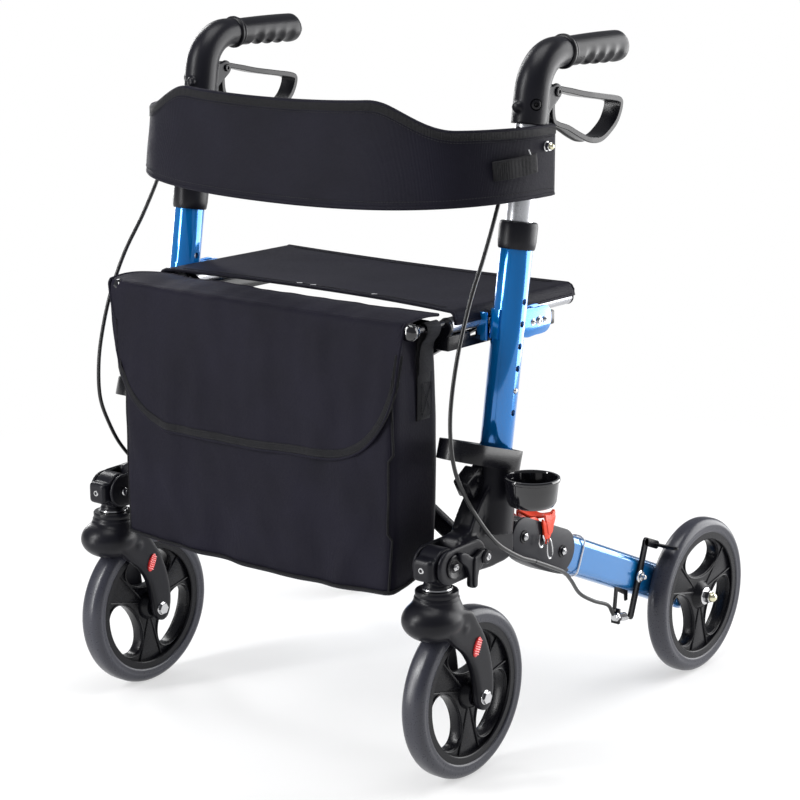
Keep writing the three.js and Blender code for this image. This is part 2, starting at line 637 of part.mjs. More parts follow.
function bagFlap() {
  const t = FLAP.thickness;
  const top = BAG.topZ + GAP;
  const slope = (BAG.frontTopY - BAG.frontBottomY) / (BAG.topZ - BAG.bottomZ);
  const front = (z) => BAG.frontTopY - (BAG.topZ - z) * slope - GAP;
  const shape = outline([
    [BAG.rearY, top], [BAG.rearY, top + t], [front(top) - t, top + t], [front(FLAP.bottomZ) - t, FLAP.bottomZ],
    [front(FLAP.bottomZ), FLAP.bottomZ], [front(top), top],
  ]);
  const panel = plateX(shape, -BAG.halfWidth, BAG.halfWidth);
  const corner = 70;
  const face = outline([
    [-BAG.halfWidth, 560], [-BAG.halfWidth, FLAP.bottomZ + corner], [-BAG.halfWidth + 14, FLAP.bottomZ + 28],
    [-BAG.halfWidth + corner, FLAP.bottomZ], [BAG.halfWidth - corner, FLAP.bottomZ],
    [BAG.halfWidth - 14, FLAP.bottomZ + 28], [BAG.halfWidth, FLAP.bottomZ + corner], [BAG.halfWidth, 560],
  ]);
  return common(panel, plateY(face, -200, 0));
}

add('storage_bag', storageBag(), CLOTH);
add('bag_flap', bagFlap(), CLOTH);

// ---- cup holder, on the left side frame only ----
function cupHolder() {
  const { x, y, r, topZ, bottomZ, wall } = CUP;
  const cup = turned([
    [0, bottomZ], [r - 6, bottomZ], [r - 2, bottomZ + 5], [r, topZ - 3], [r + 2, topZ - 2], [r + 2, topZ],
    [r - wall, topZ], [r - wall - 2, bottomZ + 6], [0, bottomZ + wall],
  ], 'z', [x, y, 0], 28);
  const arm = block([284.5, 292], [y - 2, y + 14], [330, 352]);
  return cut(join(cup, arm), rod('z', r - wall - 2, bottomZ + 6, topZ + 5, [x, y, 0], 28));
}
add('cup_holder', cupHolder(), CUP_BLACK);

// ---- origin on the floor, in the middle of the whole walker's footprint ----
const frontY = STEM.y + TRAIL - WHEEL_R;
const rearY = REAR_WHEEL.y + WHEEL_R;
const leftX = CUP.x + CUP.r + 2;
walker.position.set(-(leftX - HUB_NUT_X) / 2, -(frontY + rearY) / 2, 0);

export default walker;
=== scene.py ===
"""Folding rollator walker: the fine visible surfaces, the cloth, the studio and the camera."""
import math

import bmesh
import bpy
import numpy as np
from mathutils import Matrix, Vector, noise

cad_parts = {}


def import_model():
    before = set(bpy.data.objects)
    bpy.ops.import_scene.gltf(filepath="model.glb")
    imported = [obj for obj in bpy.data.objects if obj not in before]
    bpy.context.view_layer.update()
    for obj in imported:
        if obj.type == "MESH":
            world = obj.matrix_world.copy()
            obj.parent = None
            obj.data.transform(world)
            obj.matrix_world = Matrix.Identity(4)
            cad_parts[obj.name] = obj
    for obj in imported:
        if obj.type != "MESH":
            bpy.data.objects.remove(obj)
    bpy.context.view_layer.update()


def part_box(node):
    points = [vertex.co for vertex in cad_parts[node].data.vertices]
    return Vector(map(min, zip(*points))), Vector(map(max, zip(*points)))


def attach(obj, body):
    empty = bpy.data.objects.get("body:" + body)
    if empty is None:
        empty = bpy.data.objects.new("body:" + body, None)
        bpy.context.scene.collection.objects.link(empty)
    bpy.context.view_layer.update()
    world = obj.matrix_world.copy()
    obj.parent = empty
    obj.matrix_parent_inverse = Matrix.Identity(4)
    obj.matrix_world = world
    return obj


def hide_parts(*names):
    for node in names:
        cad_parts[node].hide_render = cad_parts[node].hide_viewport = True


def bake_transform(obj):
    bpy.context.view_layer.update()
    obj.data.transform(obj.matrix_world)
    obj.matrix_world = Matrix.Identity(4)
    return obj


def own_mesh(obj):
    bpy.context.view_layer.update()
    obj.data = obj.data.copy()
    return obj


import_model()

# ---- the walker's own dimensions, in millimetres from its own origin on the floor ----
WHEEL_R = 101.5
REAR_Y = 378.5
REAR_X = 277.5
STEM = (257, -149.8)
TRAIL = 51
FRONT_WHEEL = (STEM[0], STEM[1] + TRAIL)
REAR_WHEEL = (REAR_X, REAR_Y)
POST = (255, -36.2, 381.6)
TILT = math.atan(0.1555)
POST_R = 19
INNER_R = 15.9
HOLE_PITCH = 25.4
PIN_Z = 65
GRIP_Z = 821
GRIP_START, GRIP_END = 84, 212
PIVOT = (58, 778)
LEG_X = 249
LEG_SLOPE = 0.43
HINGE = (6, 264)
LEG_BOLT_Y = 86
HEAD_Z = 266
HEAD_BOLT = (0, STEM[1] + 6, HEAD_Z)
FOLD = (222, 255)
RAIL_Z = 524
RAIL_R = 9.5
CUP = (318, -54)
CLAMP_Z = 519
BAND_BOLT = (24, 720)
MM = 0.001
WAVE_OF_1_MM = 314
SIDES = (("left", 1), ("right", -1))

tyres = [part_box("rear_tyre_left"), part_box("rear_tyre_right")]
ORIGIN = np.array([
    (tyres[0][0].x + tyres[1][1].x) / 2,
    (tyres[0][0].y + tyres[0][1].y) / 2 - REAR_Y * MM,
    0.0,
])


def world(points):
    return np.asarray(points, float).reshape(-1, 3) * MM + ORIGIN


def post_y(z):
    return POST[1] + (z - POST[2]) * math.tan(TILT)


def leg_z(y):
    return WHEEL_R + LEG_SLOPE * (REAR_Y - y)


# ---- shapes: (points, faces) in millimetres ----
def join(*shapes):
    points, faces, base = [], [], 0
    for p, f in shapes:
        points.append(np.asarray(p, float).reshape(-1, 3))
        faces += [[i + base for i in face] for face in f]
        base += len(points[-1])
    return np.vstack(points), faces


def moved(shape, matrix):
    m = np.array(matrix, float)
    return np.asarray(shape[0], float) @ m[:3, :3].T + m[:3, 3], shape[1]


def at(shape, x=0, y=0, z=0):
    return np.asarray(shape[0], float) + np.array([x, y, z], float), shape[1]


def tipped(shape, place, angle):
    """A shape tipped about the x axis, then moved to its place."""
    return moved(shape, Matrix.Translation(place) @ Matrix.Rotation(angle, 4, "X"))


def flipped(shape):
    return np.asarray(shape[0], float) * np.array([-1, 1, 1]), [list(reversed(f)) for f in shape[1]]


def on_post(shape):
    return tipped(shape, POST, -TILT)


AXES = {"x": lambda h, a, b: (h, a, b), "y": lambda h, a, b: (a, h, b), "z": lambda h, a, b: (a, b, h)}


def turned(profile, axis="z", centre=(0, 0, 0), n=48):
    """Points of (radius, height) turned about an axis; a profile that stays off the axis closes on itself."""
    ring_list, points, place = [], [], AXES[axis]
    for r, h in profile:
        first = len(points)
        if r == 0:
            points.append(place(h, 0, 0))
            ring_list.append([first] * n)
        else:
            for i in range(n):
                t = 2 * math.pi * i / n
                points.append(place(h, r * math.cos(t), r * math.sin(t)))
            ring_list.append(list(range(first, first + n)))
    pairs = list(zip(ring_list, ring_list[1:]))
    if profile[0][0] > 0 and profile[-1][0] > 0:
        pairs.append((ring_list[-1], ring_list[0]))
    faces = []
    for a, b in pairs:
        for i in range(n):
            j = (i + 1) % n
            face = list(dict.fromkeys([a[i], a[j], b[j], b[i]]))
            if len(face) > 2:
                faces.append(face)
    return np.array(points, float) + np.array(centre, float), faces


def rod(axis, r, low, high, centre=(0, 0, 0), n=32, edge=0.6):
    e = min(edge, (high - low) / 3, r / 3)
    return turned([(0, low), (r - e, low), (r, low + e), (r, high - e), (r - e, high), (0, high)],
                  axis, centre, n)


def loft(rings, closed=False):
    n = len(rings[0])
    points = np.vstack([np.asarray(r, float) for r in rings])
    faces, count = [], len(rings)
    for k in range(count if closed else count - 1):
        a, b = k * n, ((k + 1) % count) * n
        faces += [[a + i, a + (i + 1) % n, b + (i + 1) % n, b + i] for i in range(n)]
    if not closed:
        faces += [list(range(n - 1, -1, -1)), list(range((count - 1) * n, count * n))]
    return points, faces


def smooth_path(points, per=8, closed=False):
    """A smooth curve through the points."""
    p = [np.array(q, float) for q in points]
    out, n = [], len(p)
    for i in range(n if closed else n - 1):
        a, b = p[i], p[(i + 1) % n]
        before = p[i - 1] if closed or i > 0 else 2 * a - b
        after = p[(i + 2) % n] if closed or i < n - 2 else 2 * b - a
        for k in range(per):
            t = k / per
            out.append(0.5 * (2 * a + (b - before) * t + (2 * before - 5 * a + 4 * b - after) * t * t
                              + (3 * a - before - 3 * b + after) * t ** 3))
    if not closed:
        out.append(p[-1])
    return np.array(out)


def frames_along(path, closed=False, up=(1, 0, 0)):
    """Two directions across the path at each of its points, the first as near `up` as can be."""
    path = np.asarray(path, float)
    ahead = np.roll(path, -1, 0) - np.roll(path, 1, 0)
    if not closed:
        ahead[0], ahead[-1] = path[1] - path[0], path[-1] - path[-2]
    ahead /= np.linalg.norm(ahead, axis=1)[:, None]
    side = np.array(up, float) - ahead * (ahead @ np.array(up, float))[:, None]
    length = np.linalg.norm(side, axis=1)
    for i in np.where(length < 0.05)[0]:
        side[i] = side[i - 1] if i else np.cross(ahead[i], (0, 0, 1))
    side /= np.linalg.norm(side, axis=1)[:, None]
    return side, np.cross(ahead, side)


def sweep(path, section, closed=False, up=(1, 0, 0), scale=None):
    """A section of (side, other) points carried along a path."""
    side, other = frames_along(path, closed, up)
    rings = []
    for i, p in enumerate(path):
        s = 1 if scale is None else scale[i]
        rings.append([p + side[i] * a * s + other[i] * b * s for a, b in section])
    return loft(rings, closed)


def circle(r, n=14):
    return [(r * math.cos(2 * math.pi * i / n), r * math.sin(2 * math.pi * i / n)) for i in range(n)]


def arc(x, y, r, start, end, n):
    return [(x + r * math.cos(t), y + r * math.sin(t)) for t in np.linspace(start, end, n)]


def long_loop(r, high, low):
    """A closed loop round two circles of one size, one above the other."""
    return arc(0, high, r, 0, math.pi, 20) + arc(0, low, r, math.pi, 2 * math.pi, 20)


def tube(points, r, n=12, per=8, closed=False):
    return sweep(smooth_path(points, per, closed), circle(r, n), closed)


def strap(width, thickness):
    """A flat section with blunted corners."""
    w, t = width / 2, thickness / 2
    e = min(0.8, t * 0.6)
    return [(-w, -t + e), (-w + e, -t), (w - e, -t), (w, -t + e), (w, t - e), (w - e, t),
            (-w + e, t), (-w, t - e)]


def block(x, y, z, edge=1.2, steps=2):
    bm = bmesh.new()
    bmesh.ops.create_cube(bm, size=1)
    size = [b - a for a, b in (x, y, z)]
    for v in bm.verts:
        v.co = [((a + b) / 2) + c * s for (a, b), c, s in zip((x, y, z), v.co, size)]
    bmesh.ops.bevel(bm, geom=list(bm.edges), offset=min(edge, min(size) * 0.45), segments=steps, profile=0.5,
                    affect="EDGES")
    shape = np.array([v.co[:] for v in bm.verts]), [[v.index for v in f.verts] for f in bm.faces]
    bm.free()
    return shape


def plate(loops, plane, low, high, edge=1.0, steps=2):
    """A plate between two values of one axis, cut to closed loops: the outline first, then its openings."""
    curve = bpy.data.curves.new("plate", "CURVE")
    curve.dimensions, curve.fill_mode = "2D", "BOTH"
    for loop in loops:
        spline = curve.splines.new("POLY")
        spline.points.add(len(loop) - 1)
        for point, (u, v) in zip(spline.points, loop):
            point.co = (u, v, 0, 1)
        spline.use_cyclic_u = True
    curve.extrude = (high - low) / 2 - edge
    curve.bevel_depth, curve.bevel_resolution, curve.offset = edge, steps - 1, -edge
    holder = bpy.data.objects.new("plate", curve)
    bpy.context.scene.collection.objects.link(holder)
    mesh = bpy.data.meshes.new_from_object(holder.evaluated_get(bpy.context.evaluated_depsgraph_get()))
    bpy.data.objects.remove(holder)
    bm = bmesh.new()
    bm.from_mesh(mesh)
    bmesh.ops.remove_doubles(bm, verts=list(bm.verts), dist=0.01)
    middle = (low + high) / 2
    place = {"yz": lambda c: (c[2] + middle, c[0], c[1]), "xz": lambda c: (c[0], c[2] + middle, c[1]),
             "xy": lambda c: (c[0], c[1], c[2] + middle)}[plane]
    bm.verts.index_update()
    shape = np.array([place(v.co) for v in bm.verts]), [[v.index for v in f.verts] for f in bm.faces]
    bm.free()
    return shape


def link(a, ra, b, rb, n=14):
    """The outline of two circles joined by their outer tangents."""
    direction = math.atan2(b[1] - a[1], b[0] - a[0])
    spread = math.acos((ra - rb) / math.hypot(b[0] - a[0], b[1] - a[1]))
    return (arc(*a, ra, direction + spread, direction + 2 * math.pi - spread, n)
            + arc(*b, rb, direction - spread, direction + spread, n))


def soft_outline(points, per=6):
    """A closed outline rounded through its corner points."""
    return [(q[0], q[1]) for q in smooth_path([(a, b, 0) for a, b in points], per, True)]


def linked(name, points, faces):
    """A new object in the scene, with its faces turned outward."""
    mesh = bpy.data.meshes.new(name)
    mesh.from_pydata([tuple(p) for p in points], [], faces)
    bm = bmesh.new()
    bm.from_mesh(mesh)
    bmesh.ops.recalc_face_normals(bm, faces=list(bm.faces))
    bm.to_mesh(mesh)
    bm.free()
    obj = bpy.data.objects.new(name, mesh)
    bpy.context.scene.collection.objects.link(obj)
    return obj


def soft_plate(corners, plane, low, high, edge=1.0, steps=2, per=5):
    """A plate with its outline rounded through the corner points."""
    return plate([soft_outline(corners, per)], plane, low, high, edge, steps)


def scratch(shape):
    return linked("scratch", np.asarray(shape[0], float), shape[1])


def baked(obj):
    mesh = bpy.data.meshes.new_from_object(obj.evaluated_get(bpy.context.evaluated_depsgraph_get()))
    shape = np.array([v.co[:] for v in mesh.vertices]), [list(p.vertices) for p in mesh.polygons]
    bpy.data.objects.remove(obj)
    return shape


def moulded(shape, voxel=1.8, rounds=5):
    """One moulded skin over overlapping shapes, with its inner corners filleted."""
    obj = scratch(shape)
    remesh = obj.modifiers.new("remesh", "REMESH")
    remesh.mode, remesh.voxel_size = "VOXEL", voxel
    ease = obj.modifiers.new("ease", "SMOOTH")
    ease.iterations, ease.factor = rounds, 0.6
    return baked(obj)


def carved(shape, *tools, bevel=0.5):
    obj = scratch(shape)
    cutters = [scratch(t) for t in tools]
    for cutter in cutters:
        cut = obj.modifiers.new("cut", "BOOLEAN")
        cut.operation, cut.object, cut.solver = "DIFFERENCE", cutter, "EXACT"
    if bevel:
        edge = obj.modifiers.new("edge", "BEVEL")
        edge.width, edge.segments, edge.limit_method, edge.angle_limit = bevel, 2, "ANGLE", math.radians(40)
    out = baked(obj)
    for cutter in cutters:
        bpy.data.objects.remove(cutter)
    return out


def normals_of(grid):
    """The unit normals of a grid of points."""
    normal = np.cross(np.gradient(grid, axis=0), np.gradient(grid, axis=1))
    return normal / np.maximum(np.linalg.norm(normal, axis=2), 1e-9)[..., None]


def slab(grid, thickness):
    """Cloth over a grid of points: both faces and a rounded rim."""
    bulge = 0.35
    g = np.asarray(grid, float)
    normal = normals_of(g)
    n, m = g.shape[:2]
    top, low = g + normal * thickness / 2, g - normal * thickness / 2
    points = np.vstack([top.reshape(-1, 3), low.reshape(-1, 3)])
    size = n * m
    faces = []
    for i in range(n - 1):
        for j in range(m - 1):
            a, b, c, d = i * m + j, (i + 1) * m + j, (i + 1) * m + j + 1, i * m + j + 1
            faces += [[a, b, c, d], [size + d, size + c, size + b, size + a]]
    rim = ([i * m for i in range(n)] + [(n - 1) * m + j for j in range(1, m)]
           + [i * m + m - 1 for i in range(n - 2, -1, -1)] + [j for j in range(m - 2, 0, -1)])
    flat = g.reshape(-1, 3)
    middle = []
    for k, i in enumerate(rim):
        along = flat[rim[(k + 1) % len(rim)]] - flat[rim[k - 1]]
        out = np.cross(along, normal.reshape(-1, 3)[i])
        out /= max(np.linalg.norm(out), 1e-9)
        inward = g.reshape(-1, 3).mean(0) - flat[i]
        middle.append(flat[i] + (out if out @ inward < 0 else -out) * thickness * bulge)
    points = np.vstack([points, middle])
    for k in range(len(rim)):
        a, b = rim[k], rim[(k + 1) % len(rim)]
        p, q = 2 * size + k, 2 * size + (k + 1) % len(rim)
        faces += [[a, p, q, b], [p, size + a, size + b, q]]
    return points, faces


def rim_path(grid):
    g = np.asarray(grid, float)
    return np.vstack([g[:, 0], g[-1, 1:], g[-2::-1, -1], g[0, -2:0:-1]])


# ---- materials ----
def texture(nodes, links, coordinates, scale, detail=3.0, stretch=None):
    n = nodes.new("ShaderNodeTexNoise")
    n.inputs["Scale"].default_value, n.inputs["Detail"].default_value = scale, detail
    source = coordinates
    if stretch:
        m = nodes.new("ShaderNodeMapping")
        m.inputs["Scale"].default_value = stretch
        links.new(coordinates, m.inputs["Vector"])
        source = m.outputs["Vector"]
    links.new(source, n.inputs["Vector"])
    return n.outputs["Fac"]


def ramp(nodes, links, value, low, high):
    m = nodes.new("ShaderNodeMapRange")
    m.inputs["From Min"].default_value, m.inputs["From Max"].default_value = 0.3, 0.7
    m.inputs["To Min"].default_value, m.inputs["To Max"].default_value = low, high
    links.new(value, m.inputs["Value"])
    return m.outputs["Result"]


def material(name, color, rough, metal=0.0, grain=900, bump=0.06, specular=0.5, coat=0.0, sheen=0.0,
             vary=0.12, weave=0.0, weave_size=1.5, spread=0.08, stretch=None):
    mat = bpy.data.materials.new(name)
    mat.use_nodes = True
    nodes, links = mat.node_tree.nodes, mat.node_tree.links
    shader = nodes["Principled BSDF"]
    shader.inputs["Metallic"].default_value = metal
    shader.inputs["Specular IOR Level"].default_value = specular
    shader.inputs["Coat Weight"].default_value = coat
    shader.inputs["Coat Roughness"].default_value = 0.06
    shader.inputs["Sheen Weight"].default_value = sheen
    shader.inputs["Sheen Roughness"].default_value = 0.5
    shader.inputs["Sheen Tint"].default_value = (0.75, 0.75, 1.0, 1)
    place = nodes.new("ShaderNodeTexCoord").outputs["Object"]
    broad = texture(nodes, links, place, 14, 4)
    fine = texture(nodes, links, place, grain, 4, stretch)
    mix = nodes.new("ShaderNodeMix")
    mix.data_type = "RGBA"
    mix.inputs["A"].default_value = tuple(c * (1 - vary) for c in color) + (1,)
    mix.inputs["B"].default_value = tuple(min(1, c * (1 + vary)) for c in color) + (1,)
    links.new(ramp(nodes, links, broad, 0, 1), mix.inputs["Factor"])
    links.new(mix.outputs["Result"], shader.inputs["Base Color"])
    links.new(ramp(nodes, links, fine, rough - spread / 2, rough + spread / 2), shader.inputs["Roughness"])
    height = fine
    if weave:
        total = None
        for direction in "XYZ":
            wave = nodes.new("ShaderNodeTexWave")
            wave.bands_direction = direction
            wave.inputs["Scale"].default_value = WAVE_OF_1_MM / weave_size
            wave.inputs["Distortion"].default_value = 0.6
            wave.inputs["Detail"].default_value = 1
            links.new(place, wave.inputs["Vector"])
            if total is None:
                total = wave.outputs["Fac"]
                continue
            add = nodes.new("ShaderNodeMath")
            links.new(total, add.inputs[0])
            links.new(wave.outputs["Fac"], add.inputs[1])
            total = add.outputs["Value"]
        both = nodes.new("ShaderNodeMath")
        both.operation = "MULTIPLY_ADD"
        both.inputs[1].default_value = weave
        links.new(total, both.inputs[0])
        links.new(fine, both.inputs[2])
        height = both.outputs["Value"]
    knock = nodes.new("ShaderNodeBump")
    knock.inputs["Strength"].default_value = bump
    knock.inputs["Distance"].default_value = 0.0006
    links.new(height, knock.inputs["Height"])
    links.new(knock.outputs["Normal"], shader.inputs["Normal"])
    return mat


BLUE = material("blue paint", (0.0, 0.2, 0.62), 0.12, 0.5, 1500, 0.015, 0.3, 1.0, vary=0.04)
LEG_BLUE = material("leg paint", (0.005, 0.185, 0.52), 0.16, 0.5, 1500, 0.015, 0.5, 1.0, vary=0.04)
SILVER = material("anodised tube", (0.66, 0.67, 0.70), 0.3, 0.9, 700, 0.02, vary=0.03)
NYLON = material("moulded nylon", (0.0065, 0.0065, 0.0098), 0.34, 0.0, 1100, 0.14, 0.24)
GREY = material("grey nylon", (0.0165, 0.0168, 0.022), 0.38, 0.0, 1100, 0.14, 0.26)
WHEEL = material("wheel nylon", (0.004, 0.004, 0.0062), 0.28, 0.0, 1000, 0.1, 0.24)
TYRE = material("tyre rubber", (0.032, 0.033, 0.045), 0.3, 0.0, 500, 0.06, 0.5, vary=0.1)
GRIP = material("grip rubber", (0.0055, 0.0055, 0.008), 0.34, 0.0, 1300, 0.22, 0.3)
CHROME = material("bright steel", (0.62, 0.62, 0.63), 0.18, 1.0, 800, 0.05, vary=0.05)
BRASS = material("dome nut", (0.74, 0.71, 0.5), 0.22, 0.9, 800, 0.05, vary=0.06)
BLACK = material("black steel", (0.0035, 0.0035, 0.0055), 0.26, 0.0, 1200, 0.06, 0.3)
ORANGE = material("orange plastic", (0.80, 0.05, 0.012), 0.32, 0.0, 900, 0.06)
RED = material("red reflector", (0.75, 0.02, 0.02), 0.16, 0.0, 900, 0.04, 0.7, 0.4)
SHEATH = material("cable sheath", (0.009, 0.009, 0.01), 0.3, 0.0, 1500, 0.06)
TIE = material("white tie", (0.75, 0.75, 0.77), 0.4, 0.0, 900, 0.05)
CLOTH = material("bag cloth", (0.0070, 0.0063, 0.0130), 0.6, 0.0, 420, 0.4, 0.11, sheen=0.01, weave=0.4,
                 weave_size=1.3, vary=0.18)
SEAT = material("seat cloth", (0.0062, 0.0058, 0.0115), 0.58, 0.0, 420, 0.4, 0.11, sheen=0.01, weave=0.4,
                weave_size=1.5, vary=0.16)
BAND = material("band cloth", (0.0066, 0.0062, 0.0120), 0.6, 0.0, 420, 0.4, 0.11, sheen=0.01, weave=0.4,
                weave_size=1.4, vary=0.16)
WEBBING = material("webbing", (0.0045, 0.0045, 0.006), 0.62, 0.0, 300, 0.6, 0.22, sheen=0.02, weave=0.9,
                   weave_size=1.4)
THREAD = material("thread", (0.012, 0.012, 0.016), 0.6, 0.0, 900, 0.3, 0.25)
# pale colour for the backrest wire, and for the painted highlights on the seat's front edge
PALE_WIRE_AND_GLINT = material("pale wire and painted glint", (0.6, 0.6, 0.62), 0.6, 0.0, 900, 0.1)
CUP_BLACK = material("gloss black", (0.006, 0.006, 0.008), 0.1, 0.0, 900, 0.02, 0.6, 0.5, spread=0.04)
RAIL = material("rail", (0.50, 0.51, 0.54), 0.28, 0.9, 700, 0.04, vary=0.04, stretch=(1, 0.1, 1))

for paint in (BLUE, LEG_BLUE):
    paint.node_tree.nodes["Principled BSDF"].inputs["Coat IOR"].default_value = 1.6


# ---- pieces ----
def piece(name, shape, mat, body=None, nodes=(), sharp=38):
    obj = linked(name, world(shape[0]), shape[1])
    mesh = obj.data
    mesh.polygons.foreach_set("use_smooth", [True] * len(mesh.polygons))
    mesh.set_sharp_from_angle(angle=math.radians(sharp))
    mesh.materials.append(mat)
    if body:
        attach(obj, body)
    if nodes:
        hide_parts(*([nodes] if isinstance(nodes, str) else nodes))
    return obj


def pair(name, shape, mat, body, node=None, sharp=38):
    """The left piece as drawn, and its mirror image on the right. `%s` in a name stands for the side."""
    made = []
    for side, sign in SIDES:
        own = shape if sign > 0 else flipped(shape)
        made.append(piece(f"{name}_{side}", own, mat, body % side, [node % side] if node else (), sharp))
    return made


def hex_head(axis, r, low, high, centre=(0, 0, 0)):
    return rod(axis, r, low, high, centre, 6, 0.7)


def screw(axis, r, low, high, centre):
    """A round head with a socket."""
    s = 1 if high > low else -1
    return turned([(0, low), (r, low), (r, high - s * 1), (r - 1, high), (r * 0.5, high),
                   (r * 0.45, high - s * 1.4), (0, high - s * 1.4)], axis, centre, 24)


def dome_nut(axis, r, base, out, centre):
    """A flange, a hexagon and a dome, from base out along the axis."""
    s = 1 if out > 0 else -1
    flange = turned([(0, base), (r * 1.35, base), (r * 1.35, base + s * 1.2), (r * 1.15, base + s * 2),
                     (0, base + s * 2)], axis, centre, 32)
    hexagon = hex_head(axis, r, *sorted((base + s * 2, base + s * abs(out) * 0.55)), centre)
    cap = [(r * 0.78 * math.cos(t), base + s * (abs(out) * 0.55 + abs(out) * 0.45 * math.sin(t)))
           for t in np.linspace(0, math.pi / 2 - 0.12, 7)]
    return flange, hexagon, turned(cap + [(0, base + out)], axis, centre, 24)


# ---- posts, height tubes, collars, buttons ----
def post():
    tube_body = turned([(POST_R - 0.6, -75), (POST_R, -74), (POST_R, 239), (POST_R - 0.6, 240), (16.6, 240),
                        (16.6, -75)], n=72)
    tools = [rod("x", 3.8, -24, 24, (0, 0, PIN_Z + (i - 1) * HOLE_PITCH), 20) for i in range(6)]
    return on_post(carved(tube_body, *tools, bevel=0.7))


def along(z):
    return (z - POST[2]) / math.cos(TILT)


pair("post_tube", post(), BLUE, "%s_frame", "post_tube_%s")
pair("height_tube", on_post(turned([(INNER_R, -40), (INNER_R, 398), (14.2, 398), (14.2, -40)], n=64)),
     SILVER, "handle_%s", "height_tube_%s")
button = [(0, 13), (3.4, 13), (3.4, 18.4), (2.9, 19.8), (1.6, 20.7), (0, 21)]
pair("height_pin", on_post(turned(button, "x", (0, 0, PIN_Z), 20)), CHROME, "height_button_%s",
     "height_pin_%s")
pair("post_collar", on_post(turned([(POST_R + 0.3, along(604)), (20.4, along(604)), (21.3, along(605.5)),
                                    (22.2, along(613)), (22.4, along(630)), (21.6, along(634)),
                                    (19.5, along(635.2)), (INNER_R + 0.3, along(635.2)),
                                    (INNER_R + 0.3, 240.3), (POST_R + 0.3, 240.3)], n=64)), NYLON,
     "%s_frame", "post_collar_%s")


# ---- handles, drawn about the middle of the post ----
SCREW_AT = Matrix.Translation((0, post_y(767), 767)) @ Matrix.Rotation(math.radians(-38), 4, "Z")


def elbow():
    bend, start = 46, 778
    cy, cz = post_y(start) + bend * math.cos(TILT), start - bend * math.sin(TILT)
    points = [[0, post_y(743), 743], [0, post_y(760), 760]]
    for i in range(7):
        a = math.pi - TILT - (math.pi / 2 - TILT) * i / 6
        points.append([0, cy + bend * math.cos(a), cz + bend * math.sin(a)])
    lift = GRIP_Z - (cz + bend)
    path = [[x, y, z + lift * i / (len(points) - 1)] for i, (x, y, z) in enumerate(points)]
    path.append([0, GRIP_START, GRIP_Z])
    fine = smooth_path(path, 6)
    share = np.linspace(0, 1, len(fine))
    scale = 1.02 - 0.17 * share ** 2
    body = sweep(fine, circle(20.2, 40), scale=scale)
    ear = plate([link((PIVOT[0], PIVOT[1]), 9.5, (post_y(770) + 6, 764), 15)], "yz", -13, 13, 1.5)
    nub = moved(rod("y", 6, -8, 0, (0, 0, 0), 24, 2), Matrix.Translation((-4, post_y(762) - 17, 764)))
    back_block = tipped(block((-12, 12), (10, 24), (-2, 34), 3), (0, post_y(742), 742), -TILT)
    whole = moulded(join(body, ear, nub, back_block), 1.4, 4)
    slot_cut = block((-9.6, 9.6), (PIVOT[0] - 9, PIVOT[0] + 24), (PIVOT[1] - 50, PIVOT[1] + 14), 1)
    counterbore = moved(rod("x", 7, 18.2, 28, (0, 0, 0), 32, 0.2), SCREW_AT)
    bore = tipped(rod("z", INNER_R + 0.2, 340, 386), (0, POST[1], POST[2]), -TILT)
    return carved(whole, slot_cut, counterbore, bore, bevel=0)


pair("handle_housing", at(elbow(), POST[0]), NYLON, "handle_%s", "handle_housing_%s", 50)
handle_screws = join(at(moved(turned([(3.0, 17), (5.4, 17), (5.4, 20.2), (4.4, 20.9), (3.0, 20.9)], "x",
                                     n=32), SCREW_AT), POST[0]),
                     at(moved(screw("x", 2.4, 16.5, 20.2, (0, 0, 0)), SCREW_AT), POST[0]),
                     turned([(2.6, 12.5), (5.8, 12.5), (5.8, 14.6), (4.8, 15.4), (2.6, 15.0)], "x",
                            (POST[0], PIVOT[0], PIVOT[1]), 32),
                     screw("x", 4.6, 12.8, 15.6, (POST[0], PIVOT[0], PIVOT[1])),
                     screw("x", 4.6, -12.8, -15.6, (POST[0], PIVOT[0], PIVOT[1])))
pair("handle_screws", handle_screws, BLACK, "handle_%s")


def grip_shape():
    rings = []
    length = GRIP_END - GRIP_START
    ridge_start, ridge_end, ridges = 24, 104, 4
    stations = [(-1, 17), (-0.4, 19.6), (0.6, 20.2), (3.0, 20.2), (3.8, 19.2), (4.6, 17.4), (5.4, 18.6),
                (7.4, 18.8), (8.2, 17.2)]
    stations += [(t, 16.8 + 1.8 * math.sin((t - 10) / 102 * math.pi * 0.62))
                 for t in np.linspace(11, 108, 70)]
    stations += [(112, 18.2), (115, 17.0), (119, 14.2), (123, 10.8), (126, 8.2), (length, 6.8)]
    for t, r in stations:
        ridge = 0.0
        if ridge_start < t < ridge_end:
            turn = (t - ridge_start) / (ridge_end - ridge_start) * ridges * 2 * math.pi
            ridge = 3.4 * (0.5 - 0.5 * math.cos(turn)) ** 0.8
        ring = []
        for i in range(40):
            a = 2 * math.pi * i / 40
            under = max(0.0, 0.25 - math.sin(a)) ** 0.7 / 1.17
            rr = r - ridge * under
            drop = -2.5 * max(0, (t - 112) / 16)
            ring.append((rr * math.cos(a) * 0.97, GRIP_START + t, GRIP_Z + rr * math.sin(a) + drop))
        rings.append(ring)
    return loft(rings)


pair("grip", at(grip_shape(), POST[0]), GRIP, "handle_%s", "grip_%s", 60)


